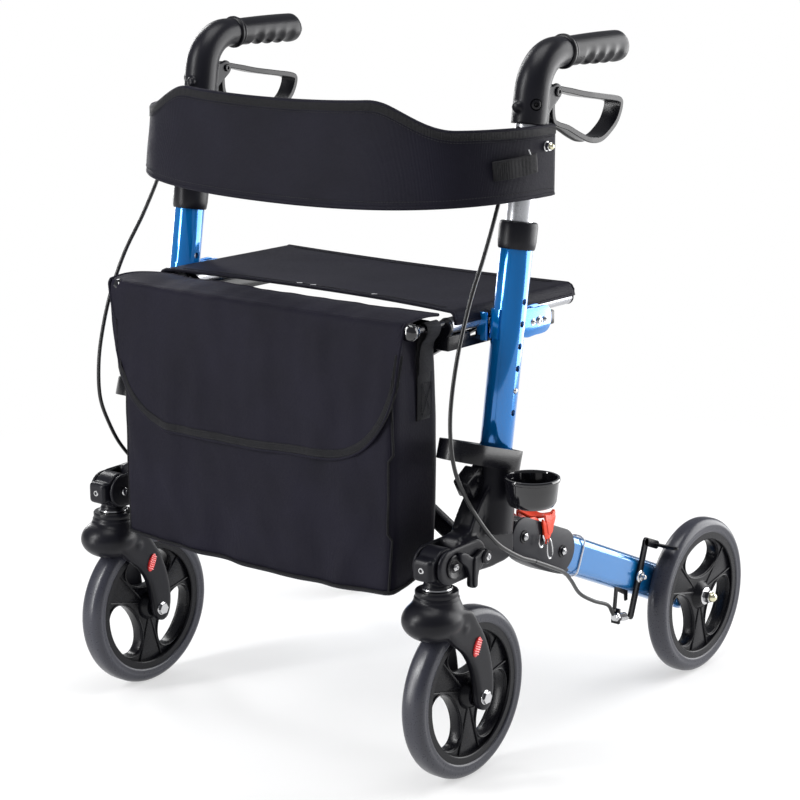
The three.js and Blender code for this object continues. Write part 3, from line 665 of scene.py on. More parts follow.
def lever():
    y, z = PIVOT[0], PIVOT[1] - 1.5
    loop = [(y + 2, z + 3), (y + 28, z + 0.5), (y + 62, z - 6), (y + 100, z - 11.5), (y + 136, z - 17),
            (y + 142, z - 24), (y + 134, z - 40), (y + 120, z - 51), (y + 100, z - 60), (y + 78, z - 60),
            (y + 56, z - 53), (y + 30, z - 42), (y + 12, z - 37), (y + 2, z - 31), (y - 1, z - 14)]
    path = smooth_path([(0, y + (a - y) * 0.95, b) for a, b in loop], 7, True)
    side, other = frames_along(path, True)
    rings = []
    for i, p in enumerate(path):
        reach = min(1.0, max(0.0, (p[1] - y - 4) / 70))
        w, t, rim = 8.4 + 3.4 * reach, 1.9 + 0.3 * reach, 1.5
        ring = [(-w, -t), (-w + 0.8, -t - 0.8), (w - 0.8, -t - 0.8), (w, -t), (w, t + rim - 0.8),
                (w - 0.8, t + rim), (w - 2.4, t + rim), (w - 3.2, t), (-w + 3.2, t), (-w + 2.4, t + rim),
                (-w + 0.8, t + rim), (-w, t + rim - 0.8)]
        rings.append([p + side[i] * a - other[i] * b for a, b in ring])
    strap_loop = loft(rings, closed=True)
    hub = rod("x", 8, -8.2, 8.2, (0, *PIVOT), 32, 1)
    fill = soft_plate([(y - 4, z + 6), (y + 14, z + 4), (y + 10, z - 10), (y - 2, z - 16)], "yz",
                      -3, 3, 1, per=6)
    return join(strap_loop, hub, fill)


pair("brake_lever", at(lever(), POST[0]), BLACK, "lever_%s", "brake_lever_%s", 30)
cam = join(rod("x", 8.2, -12.2, -9.0, (POST[0], *PIVOT), 32),
           rod("x", 3, -12.6, 12.6, (POST[0], *PIVOT), 20))
pair("brake_cam", cam, CHROME, "park_cam_%s", "brake_cam_%s")


# ---- frame casting ----
def casting():
    socket = on_post(turned([(0, -100), (29, -100), (28, -60), (24.8, -24), (24.4, -8), (0, -8)]))
    body = soft_plate([(-122, 288), (-98, 296), (-86, 314), (-62, 338), (-30, 338), (-18, 312), (-17, 284),
                       (-17, 250), (-48, 243), (-88, 244), (-122, 247)], "yz", 243, 267, 3)
    web = plate([[(-100, 262), (-60, 352), (-40, 352), (-20, 262)]], "yz", 251, 259, 2)
    ribs = [soft_plate([(-104, 290), (-88, 318), (-66, 342), (-58, 336), (-80, 300), (-92, 284)], "yz", a,
                       a + 3, 1, per=4) for a in (241, 266)]
    lug = plate([link(HINGE, 19, (-34, 268), 23)], "yz", 240.5, 257.5, 2)
    cheek = link((STEM[1], HEAD_Z), 21, (-104, 268), 21, 18)
    cheeks = [plate([cheek], "yz", a, b, 1.6) for a, b in ((237, 242.6), (271.4, 277))]
    bridge = block((238, 276), (-122, -92), (247, 289), 4)
    ear = soft_outline([(210, 255), (213, 263), (222, 268), (246, 273), (246, 243), (222, 242),
                        (213, 247)], 5)
    ears = [plate([ear], "xz", a, b, 1.2) for a, b in ((-62, -52.6), (-23.4, -17))]
    whole = moulded(join(socket, body, web, *ribs, lug, *cheeks, bridge, *ears), 1.7, 4)
    knuckle_room = rod("x", 23, -14.3, 14.3, (STEM[0], STEM[1], HEAD_Z), 40)
    bore = on_post(rod("z", POST_R + 0.3, -84, 30, n=48))
    return carved(whole, knuckle_room, bore, bevel=0)


pair("frame_casting", casting(), NYLON, "%s_frame", "frame_casting_%s", 50)

casting_band = join(plate([long_loop(31.5, 0, -58), long_loop(28.5, 0, -58)], "xy", -25, -2, 0.8),
                    turned([(19.6, -4.5), (30, -4.5), (30, -7), (19.6, -7)]))
pair("casting_band", tipped(casting_band, POST, -TILT - 0.13), BLACK, "%s_frame")
catch = join(block((-11, 11), (-14, 14), (-12, 12), 2), rod("x", 4, -12.5, 12.5, (0, 5, 3)),
             block((-8, 8), (8, 24), (-8, 6), 2))
catch = tipped(catch, (250, -80, 346), 0.55)
pair("frame_catch", catch, BLACK, "%s_frame")
outer_bolts = join(
    hex_head("x", 4.6, 276.5, 280.5, HEAD_BOLT), screw("x", 3.2, 280.3, 281.8, HEAD_BOLT),
    screw("x", 5, 236.6, 233.8, (0, STEM[1], HEAD_Z)), rod("y", 4.8, -63.5, -16, (FOLD[0], 0, FOLD[1])),
    hex_head("y", 8, -66, -62, (FOLD[0], 0, FOLD[1])), hex_head("x", 4.4, 267, 271, (0, -80, 268)),
    screw("y", 4.2, -26, -29.6, (STEM[0], STEM[1], HEAD_Z)))
# painted shade: a black disc round the knuckle bolt stands in for the shaded recess round it in the cheek
knuckle_shade_disc = turned([(7, 276), (14, 276), (14, 278.4), (12.6, 279), (7, 277.4)], "x", HEAD_BOLT, 48)
pair("knuckle_shade_disc", knuckle_shade_disc, BLACK, "%s_frame")
pair("casting_bolts", outer_bolts, CHROME, "%s_frame")


# ---- casters ----
def head():
    knuckle = rod("x", 21.5, -13.8, 13.8, (0, 0, HEAD_Z), 48, 2)
    neck = turned([(0, 239.5), (16, 239.5), (16, 243), (14, 246), (13.5, 262), (0, 262)])
    nose = block((-13.8, 13.8), (-29, -6), (252, 279), 5, 3)
    return moulded(join(knuckle, neck, nose, rod("z", 6, 212, 245)), 1.3, 3)


def dome(rx, ry, rz, centre):
    """An ellipsoid."""
    profile = [(0, rz)] + [(rx * math.cos(t), rz * math.sin(t))
                           for t in np.linspace(1.45, -1.45, 18)] + [(0, -rz)]
    points, faces = turned(profile, n=40)
    return [(p[0] + centre[0], p[1] * ry / rx + centre[1], p[2] + centre[2])
            for p in np.asarray(points)], faces


def fork():
    leg = soft_outline([(-16, 214), (-18, 196), (-4, 178), (16, 162), (30, 142), (38, 118), (41, 100),
                        (46, 88), (54, 84), (63, 88), (68, 100), (69, 120), (64, 146), (54, 172), (40, 194),
                        (22, 214)], 5)
    legs = [plate([leg], "yz", a, b, 3) for a, b in ((-31.5, -18.8), (18.8, 31.5))]
    crown = turned([(0, 236), (22, 236), (24, 233), (26, 227), (30, 218), (31, 206), (28, 194),
                    (0, 186)], n=48)
    whole = moulded(join(*legs, crown, dome(35, 38, 25, (0, -7, 204)),
                         dome(33, 24, 22, (0, 14, 194))), 1.7, 9)
    room = rod("x", 105, -17.6, 17.6, (0, TRAIL, WHEEL_R), 96, 3)
    return carved(whole, room, rod("x", 5.2, -40, 40, (0, TRAIL, WHEEL_R)), bevel=0)


def to_stem(shape):
    return at(shape, STEM[0], STEM[1])


pair("caster_head", to_stem(head()), NYLON, "%s_frame", "caster_head_%s", 50)
pair("caster_fork", to_stem(fork()), NYLON, "caster_%s", "caster_fork_%s", 50)
pair("caster_ring", to_stem(turned([(14.5, 238.3), (17.8, 238.3), (18.2, 239.6), (17.6, 241), (14.5, 241)])),
     CHROME, "%s_frame")
cap_ridges = join(turned([(15, 231), (24.2, 231), (24.8, 232), (24.8, 236.4), (24, 237.6), (15, 238)]),
                  turned([(15, 225), (25, 225), (26, 226), (26, 229), (25.4, 230), (15, 230)]))
pair("caster_cap", to_stem(cap_ridges), NYLON, "caster_%s")


def reflector():
    shrink = 0.62
    outline = [(9.0 * math.cos(t) * shrink, 19 * math.sin(t) * shrink)
               for t in np.linspace(0, 2 * math.pi, 28, endpoint=False)]
    body = plate([outline], "yz", 29.2, 32.0, 0.8)
    ribs = [rod("y", 0.8, -4.6, 4.6, (32.0, 0, z), 8, 0.2) for z in np.arange(-8, 9, 2.7)]
    lens = moved(join(body, *ribs), Matrix.Rotation(math.radians(-24), 4, "X"))
    outer = at(lens, 1.2, 34, 167)
    return join(outer, flipped(outer))


pair("reflector", to_stem(reflector()), RED, "caster_%s")


def wheel_place(shape, x, y):
    return at(shape, x, y, WHEEL_R)


front_axle = join(rod("x", 5, -31.3, 31.3), rod("x", 8.5, 31.2, 32.6), hex_head("x", 7.6, 32.4, 36),
                  rod("x", 8.5, -32.6, -31.2), hex_head("x", 7.6, -36, -32.4))
pair("front_axle", wheel_place(front_axle, *FRONT_WHEEL), CHROME, "caster_%s", "front_axle_%s")


def tyre(width):
    h = width / 2
    half = [(83.2, h - 2.6), (84.2, h - 1.1), (86.5, h - 0.8), (88.5, h - 1.0), (90.5, h - 0.5), (93, h),
            (96.5, h - 1.4), (99, h - 3.6), (100.7, h - 6.4), (101.5, h - 10.0)]
    return turned(half + [(r, -x) for r, x in reversed(half)], "x", n=128)


def oval(centre, turn, a, b, n=44):
    out = []
    for i in range(n):
        t = 2 * math.pi * i / n
        u, v = a * math.cos(t), b * math.sin(t)
        out.append((centre * math.cos(turn) + u * math.cos(turn) - v * math.sin(turn),
                    centre * math.sin(turn) + u * math.sin(turn) + v * math.cos(turn)))
    return out


def rim(width, hub_half):
    h = width / 2
    turns = [math.pi / 2 + i * 2 * math.pi / 3 for i in range(3)]
    web = plate([circle(79, 96)] + [oval(49.5, t, 23.5, 39.5) for t in turns], "yz", -7.5, 7.5, 2.4, 3)
    ring = turned([(74.5, -h + 1), (75.5, -h), (83.7, -h), (83.7, h), (75.5, h), (74.5, h - 1),
                   (75.8, h - 6), (75.8, -h + 6)], "x", n=96)
    parts = [web, ring, turned([(0, -hub_half), (13, -hub_half), (16, -hub_half + 3), (19.5, -7), (19.5, 7),
                                (16, hub_half - 3), (13, hub_half), (0, hub_half)], "x", n=48)]
    for side in (-1, 1):
        for t in turns:
            edge = [(side * 7.8, *p) for p in oval(49.5, t, 25.4, 41.4, 60)]
            parts.append(sweep(np.array(edge), circle(1.25, 8), True))
            spoke = t + math.pi / 3
            for lean in (-0.10, 0.10):
                inner = [side * 7.6, 19 * math.cos(spoke + lean * 1.5), 19 * math.sin(spoke + lean * 1.5)]
                outer = [side * 8.2, 74 * math.cos(spoke + lean * 2.6), 74 * math.sin(spoke + lean * 2.6)]
                parts.append(sweep(np.array([inner, outer]), circle(1.2, 8)))
    return join(*parts)


front_rim, rear_rim = rim(26, 17.5), rim(24, 15)
pair("front_rim", wheel_place(front_rim, *FRONT_WHEEL), WHEEL, "front_wheel_%s", "front_rim_%s", 30)
pair("front_tyre", wheel_place(tyre(31), *FRONT_WHEEL), TYRE, "front_wheel_%s", "front_tyre_%s", 50)
pair("rear_rim", wheel_place(rear_rim, *REAR_WHEEL), WHEEL, "rear_wheel_%s", "rear_rim_%s", 30)
pair("rear_tyre", wheel_place(tyre(28), *REAR_WHEEL), TYRE, "rear_wheel_%s", "rear_tyre_%s", 50)
flange, hexagon, nut_dome = dome_nut("x", 8.5, 15.3, 17, (0, 0, 0))
inner_head = hex_head("x", 9, -47, -41)
pair("rear_axle", wheel_place(join(rod("x", 5, -42, 16), flange, hexagon, inner_head), *REAR_WHEEL), CHROME,
     "leg_%s", "rear_axle_%s")
pair("rear_hub_dome", wheel_place(nut_dome, *REAR_WHEEL), BRASS, "leg_%s")


# ---- rear legs with their brackets and brakes ----
def leg_tube():
    """The oval tube from the rear axle up to its bracket."""
    angle = math.atan(LEG_SLOPE)
    length = (REAR_Y - 46) / math.cos(angle)
    rings = [[(LEG_X + a, REAR_Y - t * math.cos(angle) + b * math.sin(angle),
               WHEEL_R + t * math.sin(angle) + b * math.cos(angle)) for a, b in long_loop(12, 12, -12)]
             for t in (0, *np.linspace(10, length, 24))]
    end = rod("x", 24, LEG_X - 12, LEG_X + 12, (0, REAR_Y, WHEEL_R), 48, 4)
    return join(loft(rings), end)


pair("rear_leg", leg_tube(), LEG_BLUE, "leg_%s", "rear_leg_%s", 45)


BRACKET_BOLTS = (HINGE, (LEG_BOLT_Y, leg_z(LEG_BOLT_Y)))


def bracket():
    shape = link(BRACKET_BOLTS[0], 23, BRACKET_BOLTS[1], 27, 22)
    cheeks = [plate([shape], "yz", a, b, 1.2) for a, b in ((232.6, 236.7), (261.3, 265.6))]
    skirt = soft_plate([(20, 246), (60, 226), (96, 206), (106, 198), (92, 196), (50, 212), (16, 232)], "yz",
                       236, 262, 1.2, per=4)
    return join(*cheeks, skirt)


pair("leg_bracket", bracket(), GREY, "leg_%s", "leg_bracket_%s")
# painted shade: black rings round the bracket bolts stand in for the shade of a recess; nothing is cut into
# the bracket
pair("bracket_recess_shade", join(*[turned([(5.4, 265.4), (8, 265.4), (7.6, 266.8), (5.8, 266.8)], "x", (0, *p),
                                     32) for p in BRACKET_BOLTS]), BLACK, "leg_%s")
bracket_bolts = join(*[join(hex_head("x", 4.6, 266, 269.6, (0, *p)), screw("x", 3, 269.4, 270.8, (0, *p)),
                            hex_head("x", 6.5, 228.5, 232.6, (0, *p)), rod("x", 4, 229, 268, (0, *p)))
                       for p in BRACKET_BOLTS])
pair("bracket_bolts", bracket_bolts, CHROME, "leg_%s")


brake_y = 262
brake_pivot = (brake_y, leg_z(brake_y))


def brake():
    pivot, top, bottom, shoe = brake_pivot, (276, 194), (245, 104), (301, 184)
    arm = [plate([link(a, 5.4, b, 5.4)], "yz", 262, 265.5, 0.7)
           for a, b in ((bottom, pivot), (pivot, top), (top, shoe))]
    bar = plate([link((0, 0), 5.4, (28, 0), 4.6)], "xy", -1.8, 1.8, 0.7)
    placed = tipped(bar, (264, shoe[0], shoe[1]), -0.2)
    ridge = rod("x", 1.2, 272, 291, (0, shoe[0] + 1, shoe[1] - 2), 10)
    return join(*arm, placed, ridge)


pair("brake_arm", brake(), BLACK, "brake_%s", "brake_arm_%s")
nut_flange, nut_hex, _ = dome_nut("x", 6.0, 265.3, 8, (0, *brake_pivot))
pair("brake_pivot_nut", join(nut_flange, nut_hex, rod("x", 3, 262, 274, (0, *brake_pivot))),
     CHROME, "leg_%s")
low_y = 226
hanger = join(plate([[(low_y - 6, leg_z(low_y) - 20), (low_y + 22, leg_z(low_y + 22) - 20),
                      (low_y + 22, 122), (low_y + 17, 122), (low_y + 16, leg_z(low_y + 16) - 30),
                      (low_y - 1, leg_z(low_y) - 28), (low_y - 4, 112), (low_y - 10, 110)]], "yz", 254, 257,
                    0.7), block((254, 266), (low_y - 12, low_y - 8), (100, 120), 0.8))
pair("brake_hanger", hanger, BLACK, "leg_%s")
coil_x, coil_r, turns = 262, 4.6, 7
coil = [(coil_x + coil_r * math.cos(t * turns * 2 * math.pi), 218 + 17 * t,
         108 - 3 * t + coil_r * math.sin(t * turns * 2 * math.pi)) for t in np.linspace(0, 1, 120)]
barrel_place = (262, 0, 110)
barrel = join(rod("y", 4.4, 208, 216, barrel_place), hex_head("y", 6.2, 211, 215, barrel_place),
              tube(coil, 1.1, 6, 1))
pair("brake_spring", barrel, CHROME, "leg_%s")


def smooth_rows(rows):
    """Rows of three points, each filled in to nine along a smooth line."""
    return np.array([smooth_path(row, 4) for row in rows])


def saddle():
    """A bent saddle with a wing either side of the leg and a notch between its two peaks."""
    rings = []
    for t in np.linspace(-1, 1, 33):
        x = 249 + 21.4 * math.sin(t * math.pi / 2)
        drop = 24 * max(0, abs(t) - 0.72) / 0.28
        peak = 6.5 * math.exp(-((abs(t) - 0.86) / 0.16) ** 2) - 4 * math.exp(-(t / 0.35) ** 2)
        z = 284 + peak - drop
        low, high = 43 + 5 * max(0, abs(t) - 0.8) / 0.2, 63 - 7 * max(0, abs(t) - 0.8) / 0.2
        lift = 5 * math.exp(-((abs(t) - 0.8) / 0.2) ** 2)
        rings.append([(x, low, z), (x, (low + high) / 2, z - 1.5), (x, high, z + lift * 0.6)])
    grid = smooth_rows(rings)
    wing = soft_plate([(38, 282), (48, 276), (58, 288), (64, 280), (58, 266), (50, 252), (45, 251),
                       (41, 264)], "yz", 267.6, 270.8, 1.2, per=6)
    far = soft_plate([(10, 286), (26, 287), (38, 281), (36, 272), (26, 276), (14, 282)], "yz", 262, 265, 1.1)
    far_wing = at(wing, -41, 0, 0)
    return join(slab(grid, 3.2), wing, far_wing, far)


pair("release_pull", at(saddle(), 0, 0, -4), ORANGE, "pull_%s", "release_pull_%s")
rear_wire = [(271.6, 46, 253), (272.6, 44, 246), (272.8, 45, 234), (272.6, 50, 228), (272.8, 55, 234),
             (272.6, 53, 246), (271.6, 50, 253)]
front_wire = [(271.6, 30, 262), (272.6, 27, 252), (272.6, 32, 246), (272.6, 38, 252), (271.6, 36, 260)]
pair("pull_wires", join(tube(rear_wire, 0.9, 8), tube(front_wire, 0.9, 8)), CHROME, "pull_%s")

wing_y, wing_z = -92, 267
wing = join(soft_plate([(-86, 272), (-98, 276), (-114, 271), (-128, 279), (-139, 281), (-137, 271),
                        (-127, 262), (-122, 250), (-121, 238), (-108, 235), (-106, 248), (-100, 261),
                        (-88, 266)], "yz", 277.4, 283.2, 1.6, 3),
            soft_plate([(-112, 268), (-116, 268), (-117, 240), (-112, 239)], "yz", 282, 285.4, 1, 2, per=4),
            rod("x", 8.5, 277.4, 286, (0, wing_y, wing_z), 32, 1.5))
pair("wing_lever", wing, NYLON, "wing_%s", "wing_lever_%s", 30)
pair("wing_screw", screw("x", 4, 285.4, 287.6, (0, wing_y, wing_z)), CHROME, "wing_%s")

# ---- cables ----
CABLE = [(256, -2, 742), (258, -14, 724), (260, -32, 690), (261, -50, 650), (264, -76, 605),
         (268, -106, 560), (271, -130, 510), (273, -145, 460), (275, -150, 420), (278, -146, 380),
         (281, -130, 345), (285, -106, 310), (286, -74, 278), (285, -30, 252), (283, 4, 238)]
LEG_CABLE = [(282.5, 6, 237), (280, 40, 222), (275, 76, 205), (267, 104, 186), (256, 140, 158),
             (256, 172, 140), (258, 200, 128), (260, 208, 116), (262, 212, 110)]
for side, sign in SIDES:
    run = tube(CABLE, 2.4, 14, 10)
    cable = piece(f"brake_cable_{side}", run if sign > 0 else flipped(run), SHEATH, None,
                  [f"brake_cable_{side}"])
    low, high = world([(sign * 272, -130, 500)])[0], world([(sign * 256, -2, 742)])[0]
    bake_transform(cable)
pair("leg_cable", tube(LEG_CABLE, 2.4, 14, 10), SHEATH, "leg_%s", "leg_cable_%s")
tie_y = 132
tie_path = [(LEG_X + 13.2 * a, tie_y + 25.6 * b * 0.39, leg_z(tie_y) + 25.6 * b * 0.92)
            for a, b in ((0, 1), (0.85, 0.86), (1, 0.5), (1, 0), (1, -0.5), (0.85, -0.86), (0, -1),
                         (-0.85, -0.86), (-1, -0.5), (-1, 0.5), (-0.85, 0.86))]
pair("leg_tie", tube(tie_path, 1.1, 8, 6, True), TIE, "leg_%s")

# ---- cross brace ----
for name, sign, middle, node in (("cross_bar_a", 1, -46, "brace_a"), ("cross_bar_b", -1, -30, "brace_b")):
    low, high = (sign * FOLD[0], FOLD[1]), (-sign * FOLD[0], RAIL_Z)
    bar = plate([link(low, 10, high, 11, 16)], "xz", middle - 6, middle + 6, 1.6)
    tools = [rod("y", RAIL_R + 0.2, middle - 8, middle + 8, (high[0], 0, high[1]), 40),
             rod("y", 5.2, middle - 8, middle + 8, (low[0], 0, low[1]), 32)]
    body = carved(bar, *tools, bevel=0)
    if sign > 0:
        centre = (0, 0, (FOLD[1] + RAIL_Z) / 2)
        body = join(body, rod("y", 6, -58, -19, centre), hex_head("y", 9.6, -58, -52.3, centre),
                    hex_head("y", 9.6, -23.7, -17, centre))
    piece(name, body, BLACK, node, [name])


# ---- seat rails and the ledges, clamps and knobs that hold them ----
pair("seat_rail", turned([(9.5, -88), (9.5, 148), (8.8, 149.5), (7.7, 150), (7.7, -88)], "y",
                         (FOLD[0], 0, RAIL_Z), 48), RAIL, "rail_%s", "seat_rail_%s")
plugs = [rod("y", 9.9, a, b, (FOLD[0], 0, RAIL_Z), 40, 1.4) for a, b in ((148.6, 151.6), (-90, -87))]
pair("rail_plug", join(*plugs), NYLON, "rail_%s")
ledge_top = RAIL_Z - RAIL_R - 0.3
ledge = carved(block((212, 231.5), (-97, 112), (497, ledge_top), 2),
               block((200, 224), (-56, -20), (490, 530), 0.5),
               block((200, 240), (-56, -20), (507, 530), 0.5), bevel=0)
hang = join(ledge, rod("y", 11, -97, -91, (224, 0, RAIL_Z - 2), 32, 1.5),
            rod("y", 4, -150, -95, (224, 0, RAIL_Z + 4)), block((228, 250), (4, 16), (499, 511), 1))
pair("seat_support", hang, BLACK, "%s_frame", "seat_support_%s")
knob = at(moved(turned([(0, 0), (7.5, 0), (8, 3), (9.8, 6), (10.6, 10), (9.6, 14), (6.5, 16.2), (0, 16.8)],
                       n=40), Matrix.Rotation(math.pi / 2, 4, "X")), 224, -148, RAIL_Z + 4)
pair("bag_knob", knob, CUP_BLACK, "%s_frame", None, 50)


def clamp():
    z = along(CLAMP_Z)
    shell = on_post(turned([(POST_R + 0.3, z - 17), (21.3, z - 17), (21.6, z - 16), (21.6, z + 16),
                            (21.3, z + 17), (POST_R + 0.3, z + 17)], n=48))
    cheek = soft_outline([(0, 504), (0, 533), (24, 534), (44, 534), (53, 526), (53, 511), (44, 503),
                          (24, 502)], 5)
    cheeks = [plate([cheek], "yz", a, b, 0.8) for a, b in ((263, 266.5), (250, 253.5))]
    front = block((226, 240), (-37, -33.4), (501, 534), 1.2)
    half = carved(shell, at(block((0, 60), (-60, 60), (-40, 40), 0.5), 256, -16, CLAMP_Z), bevel=0)
    return join(half, *cheeks, front)


pair("post_clamp", clamp(), BLUE, "%s_frame")
clamp_bolts = join(*[join(rod("x", r + 1.4, 266.3, 267.4, (0, y, 518), 24),
                          screw("x", r, 267.2, 269.6, (0, y, 518)))
                     for y, r in ((17, 2.6), (29, 4.2), (41, 2.6))])
pair("clamp_bolts", clamp_bolts, CHROME, "%s_frame")

# ---- cup holder on the left only ----
x, y = CUP
cup = turned([(0, 324), (22, 324), (26, 326), (28.5, 331), (30, 346), (30.6, 353), (32, 354), (32.4, 356),
              (31.6, 358), (29, 358), (28.2, 355), (27.6, 342), (26, 331), (22, 328.5), (0, 328)], "z",
             (x, y, 0), 72)
piece("cup_holder", join(cup, block((284.5, 290.5), (y - 2, y + 14), (330, 352), 1.5)), CUP_BLACK,
      "left_frame", ["cup_holder"], 40)


# ---- cloth ----
def ease(t):
    t = np.clip(t, 0, 1)
    return t * t * (3 - 2 * t)


def ripple(grid, amount, size, seed, hold=0.12):
    """Moves a grid along its normals by smooth noise, least at its rim."""
    g = np.asarray(grid, float)
    normal = normals_of(g)
    n, m = g.shape[:2]
    out = g.copy()
    for i in range(n):
        for j in range(m):
            edge = min(i / (n - 1), 1 - i / (n - 1), j / (m - 1), 1 - j / (m - 1)) / hold
            p = Vector(g[i, j]) / size + Vector((seed, seed * 2, seed * 3))
            out[i, j] += normal[i, j] * amount * noise.noise(p) * float(ease(edge))
    return out


def distances(path):
    """How far along a path each of its points lies."""
    return np.concatenate([[0], np.cumsum(np.linalg.norm(np.diff(path, axis=0), axis=1))])


def values_at(s, run, rows):
    """The rows' values at one distance along their path."""
    return np.array([np.interp(s, run, rows[:, k]) for k in range(rows.shape[1])])


def area_of(shape):
    bm = bmesh.new()
    points = [bm.verts.new(p) for p in world(shape[0])]
    for f in shape[1]:
        bm.faces.new([points[i] for i in f])
    total = sum(f.calc_area() for f in bm.faces)
    bm.free()
    return total / 2


def stitches(path, normal, step=4.0, length=2.6, r=0.35):
    """Short raised stitches along a path."""
    path, out = np.asarray(path, float), []
    run = distances(path)
    for s in np.arange(step / 2, run[-1] - length, step):
        a, b, n = values_at(s, run, path), values_at(s + length, run, path), values_at(s, run, normal)
        out.append(sweep(np.array([a, (a + b) / 2 + n * 0.3, b]), circle(r, 5), up=n))
    return join(*out)


# backrest: a foam band round the front of the two height tubes
BAND_HALF, BAND_REAR, BAND_DEPTH, BAND_POWER = 274.5, 41.3, 175, 3.4


def band_plan(t):
    """A point of the band's plan, with t from -1 at the right end to 1 at the left end."""
    a = t * math.pi / 2
    x = BAND_HALF * math.copysign(abs(math.sin(a)) ** (2 / BAND_POWER), a)
    return x, BAND_REAR - BAND_DEPTH * max(0.0, math.cos(a)) ** (2 / BAND_POWER)


def band_top(x):
    end = 741
    high = 767 + 6 * min(1.0, abs(x) / 165) ** 2
    return end + (high - end) * float(ease((240 - abs(x)) / 98))


def band_low(x):
    return 665 - 13 * max(0.0, 1 - (x / 272) ** 2)


plan = np.array([band_plan(t) for t in np.linspace(-1, 1, 1401)])
run = distances(plan)
plan = np.array([values_at(s, run, plan) for s in np.linspace(0, run[-1], 190)])
ROWS = 26
band_grid = np.zeros((len(plan), ROWS, 3))
for i, (px, py) in enumerate(plan):
    top, low = band_top(px), band_low(px)
    for j in range(ROWS):
        z = low + (top - low) * j / (ROWS - 1)
        lean = 0.03 * max(0.0, (z - 665) / 80) * float(ease((20 - py) / 80))
        band_grid[i, j] = (px * (1 - lean), py * (1 - lean), z)
band_grid = ripple(band_grid, 2.2, 60, 3.1)
band_rim = rim_path(band_grid)
band_shape = join(slab(band_grid, 4.6), sweep(band_rim, circle(3.0, 10), True, (0, 0, 1)))
backrest = piece("backrest", band_shape, BAND, "handle_left", ["backrest_band"], 60)


def inset_row(grid, distance, side=1, lift=2.5, top=True):
    """A line on a grid's face a little in from its top or bottom edge, and its normals."""
    g = np.asarray(grid, float)
    normal = normals_of(g)
    edge, inner = (g[:, -1], g[:, -6]) if top else (g[:, 0], g[:, 5])
    n = normal[:, -3] if top else normal[:, 2]
    away = inner - edge
    away /= np.linalg.norm(away, axis=1)[:, None]
    return edge + away * distance + n * lift * side, n * side


def outward(grid, centre):
    g = np.asarray(grid, float)
    n, m = g.shape[0] // 2, g.shape[1] // 2
    normal = np.cross(g[n + 1, m] - g[n - 1, m], g[n, m + 1] - g[n, m - 1])
    return 1 if normal @ (g[n, m] - np.array(centre, float)) > 0 else -1


band_side = outward(band_grid, (0, 100, 700))
rows = [inset_row(band_grid, d, band_side, 2.5) for d in (8.5, 11.0)]
rows += [inset_row(band_grid, 6.5, band_side, 2.5, False)]
band_seams = join(*[stitches(p, n, 3.6, 2.4, 0.45) for p, n in rows])
seams = piece("backrest_stitching", band_seams, THREAD, "handle_left")
top_row, _ = inset_row(band_grid, 4.2, band_side, 2.7)
band_binding = piece("backrest_binding", sweep(top_row, strap(8.4, 0.9), up=(0, 0, 1)), WEBBING,
                     "handle_left", (), 50)

# webbing loop and bolts on the band
tab = [(261, -56), (266, -46), (272, -32), (277, -16), (281, -3), (284, -4), (283, -14), (279, -28),
       (275, -42), (269, -52), (264, -58)]
tab_shape = tipped(plate([soft_outline(tab, 4)], "xy", -11, 11, 0.8, 2), (0, 0, 705), 0.12)
band_loop_piece = piece("backrest_loop", tab_shape, WEBBING, "handle_left", (), 50)
wire_line = [(281.6, -17, 720), (282.4, -13, 712), (283, -9, 702), (282.6, -6, 694)]
wire = piece("backrest_wire", tube(wire_line, 0.7, 8), PALE_WIRE_AND_GLINT, "handle_left")
band_bolt = join(rod("x", 6, 276.2, 278.2, (0, *BAND_BOLT)), hex_head("x", 5.4, 278, 282.5, (0, *BAND_BOLT)))
pair("band_bolt", band_bolt, CHROME, "handle_%s")
bolt_dome = turned([(0, 0), (3.8, 0), (3.6, 2), (2.4, 4), (0, 5)], "x")
pair("band_bolt_dome", at(bolt_dome, 282.4, *BAND_BOLT), BRASS, "handle_%s")

# seat: cloth over both rails
SEAT_N, SEAT_M = 90, 46
FLAT_SHARE, HEM_R = 0.93, 12.6
seat_grid = np.zeros((SEAT_N, SEAT_M, 3))
for j in range(SEAT_M):
    v = j / (SEAT_M - 1)
    across = []
    for i in range(SEAT_N):
        u = 2 * i / (SEAT_N - 1) - 1
        side = abs(u)
        front = -84 + 31 * (1 - side ** 2.2)
        back = 152 - 2 * (1 - side ** 2)
        y = front + (back - front) * v
        past = max(0.0, (side - FLAT_SHARE) / 0.07)
        if past <= 0:
            x = FOLD[0] * side / FLAT_SHARE
            sag = 5.5 * (1 - (x / FOLD[0]) ** 2) * (0.35 + 0.65 * math.sin(math.pi * v))
            z = RAIL_Z + 12.3 - sag + 3.0
        else:
            t = past * math.pi * 0.5
            x = FOLD[0] + HEM_R * math.sin(t) * 0.7
            z = RAIL_Z + 2.7 + (HEM_R * math.cos(t) if t < math.pi / 2 else -HEM_R * (t - math.pi / 2) * 0.9)
        across.append((math.copysign(x, u), y, z))
    seat_grid[:, j] = across
seat_grid = ripple(seat_grid, 1.6, 75, 7.7, 0.2)
seat_rim = rim_path(seat_grid)
seat_shape = join(slab(seat_grid, 2.6), sweep(seat_rim, circle(2.1, 8), True, (0, 0, 1)))
seat = piece("seat_sling_cloth", seat_shape, SEAT, "rail_left", ["seat_sling"], 60)
seat_side = outward(seat_grid, (0, 30, 0))
hem_lines = []
for inset in (7, 10):
    for rear in (False, True):
        p, n = inset_row(seat_grid, inset, seat_side, 1.5, rear)
        hem_lines.append(stitches(p[6:-6], n[6:-6], 3.6, 2.4, 0.4))
seat_seams = piece("seat_stitching", join(*hem_lines), THREAD, "rail_left")
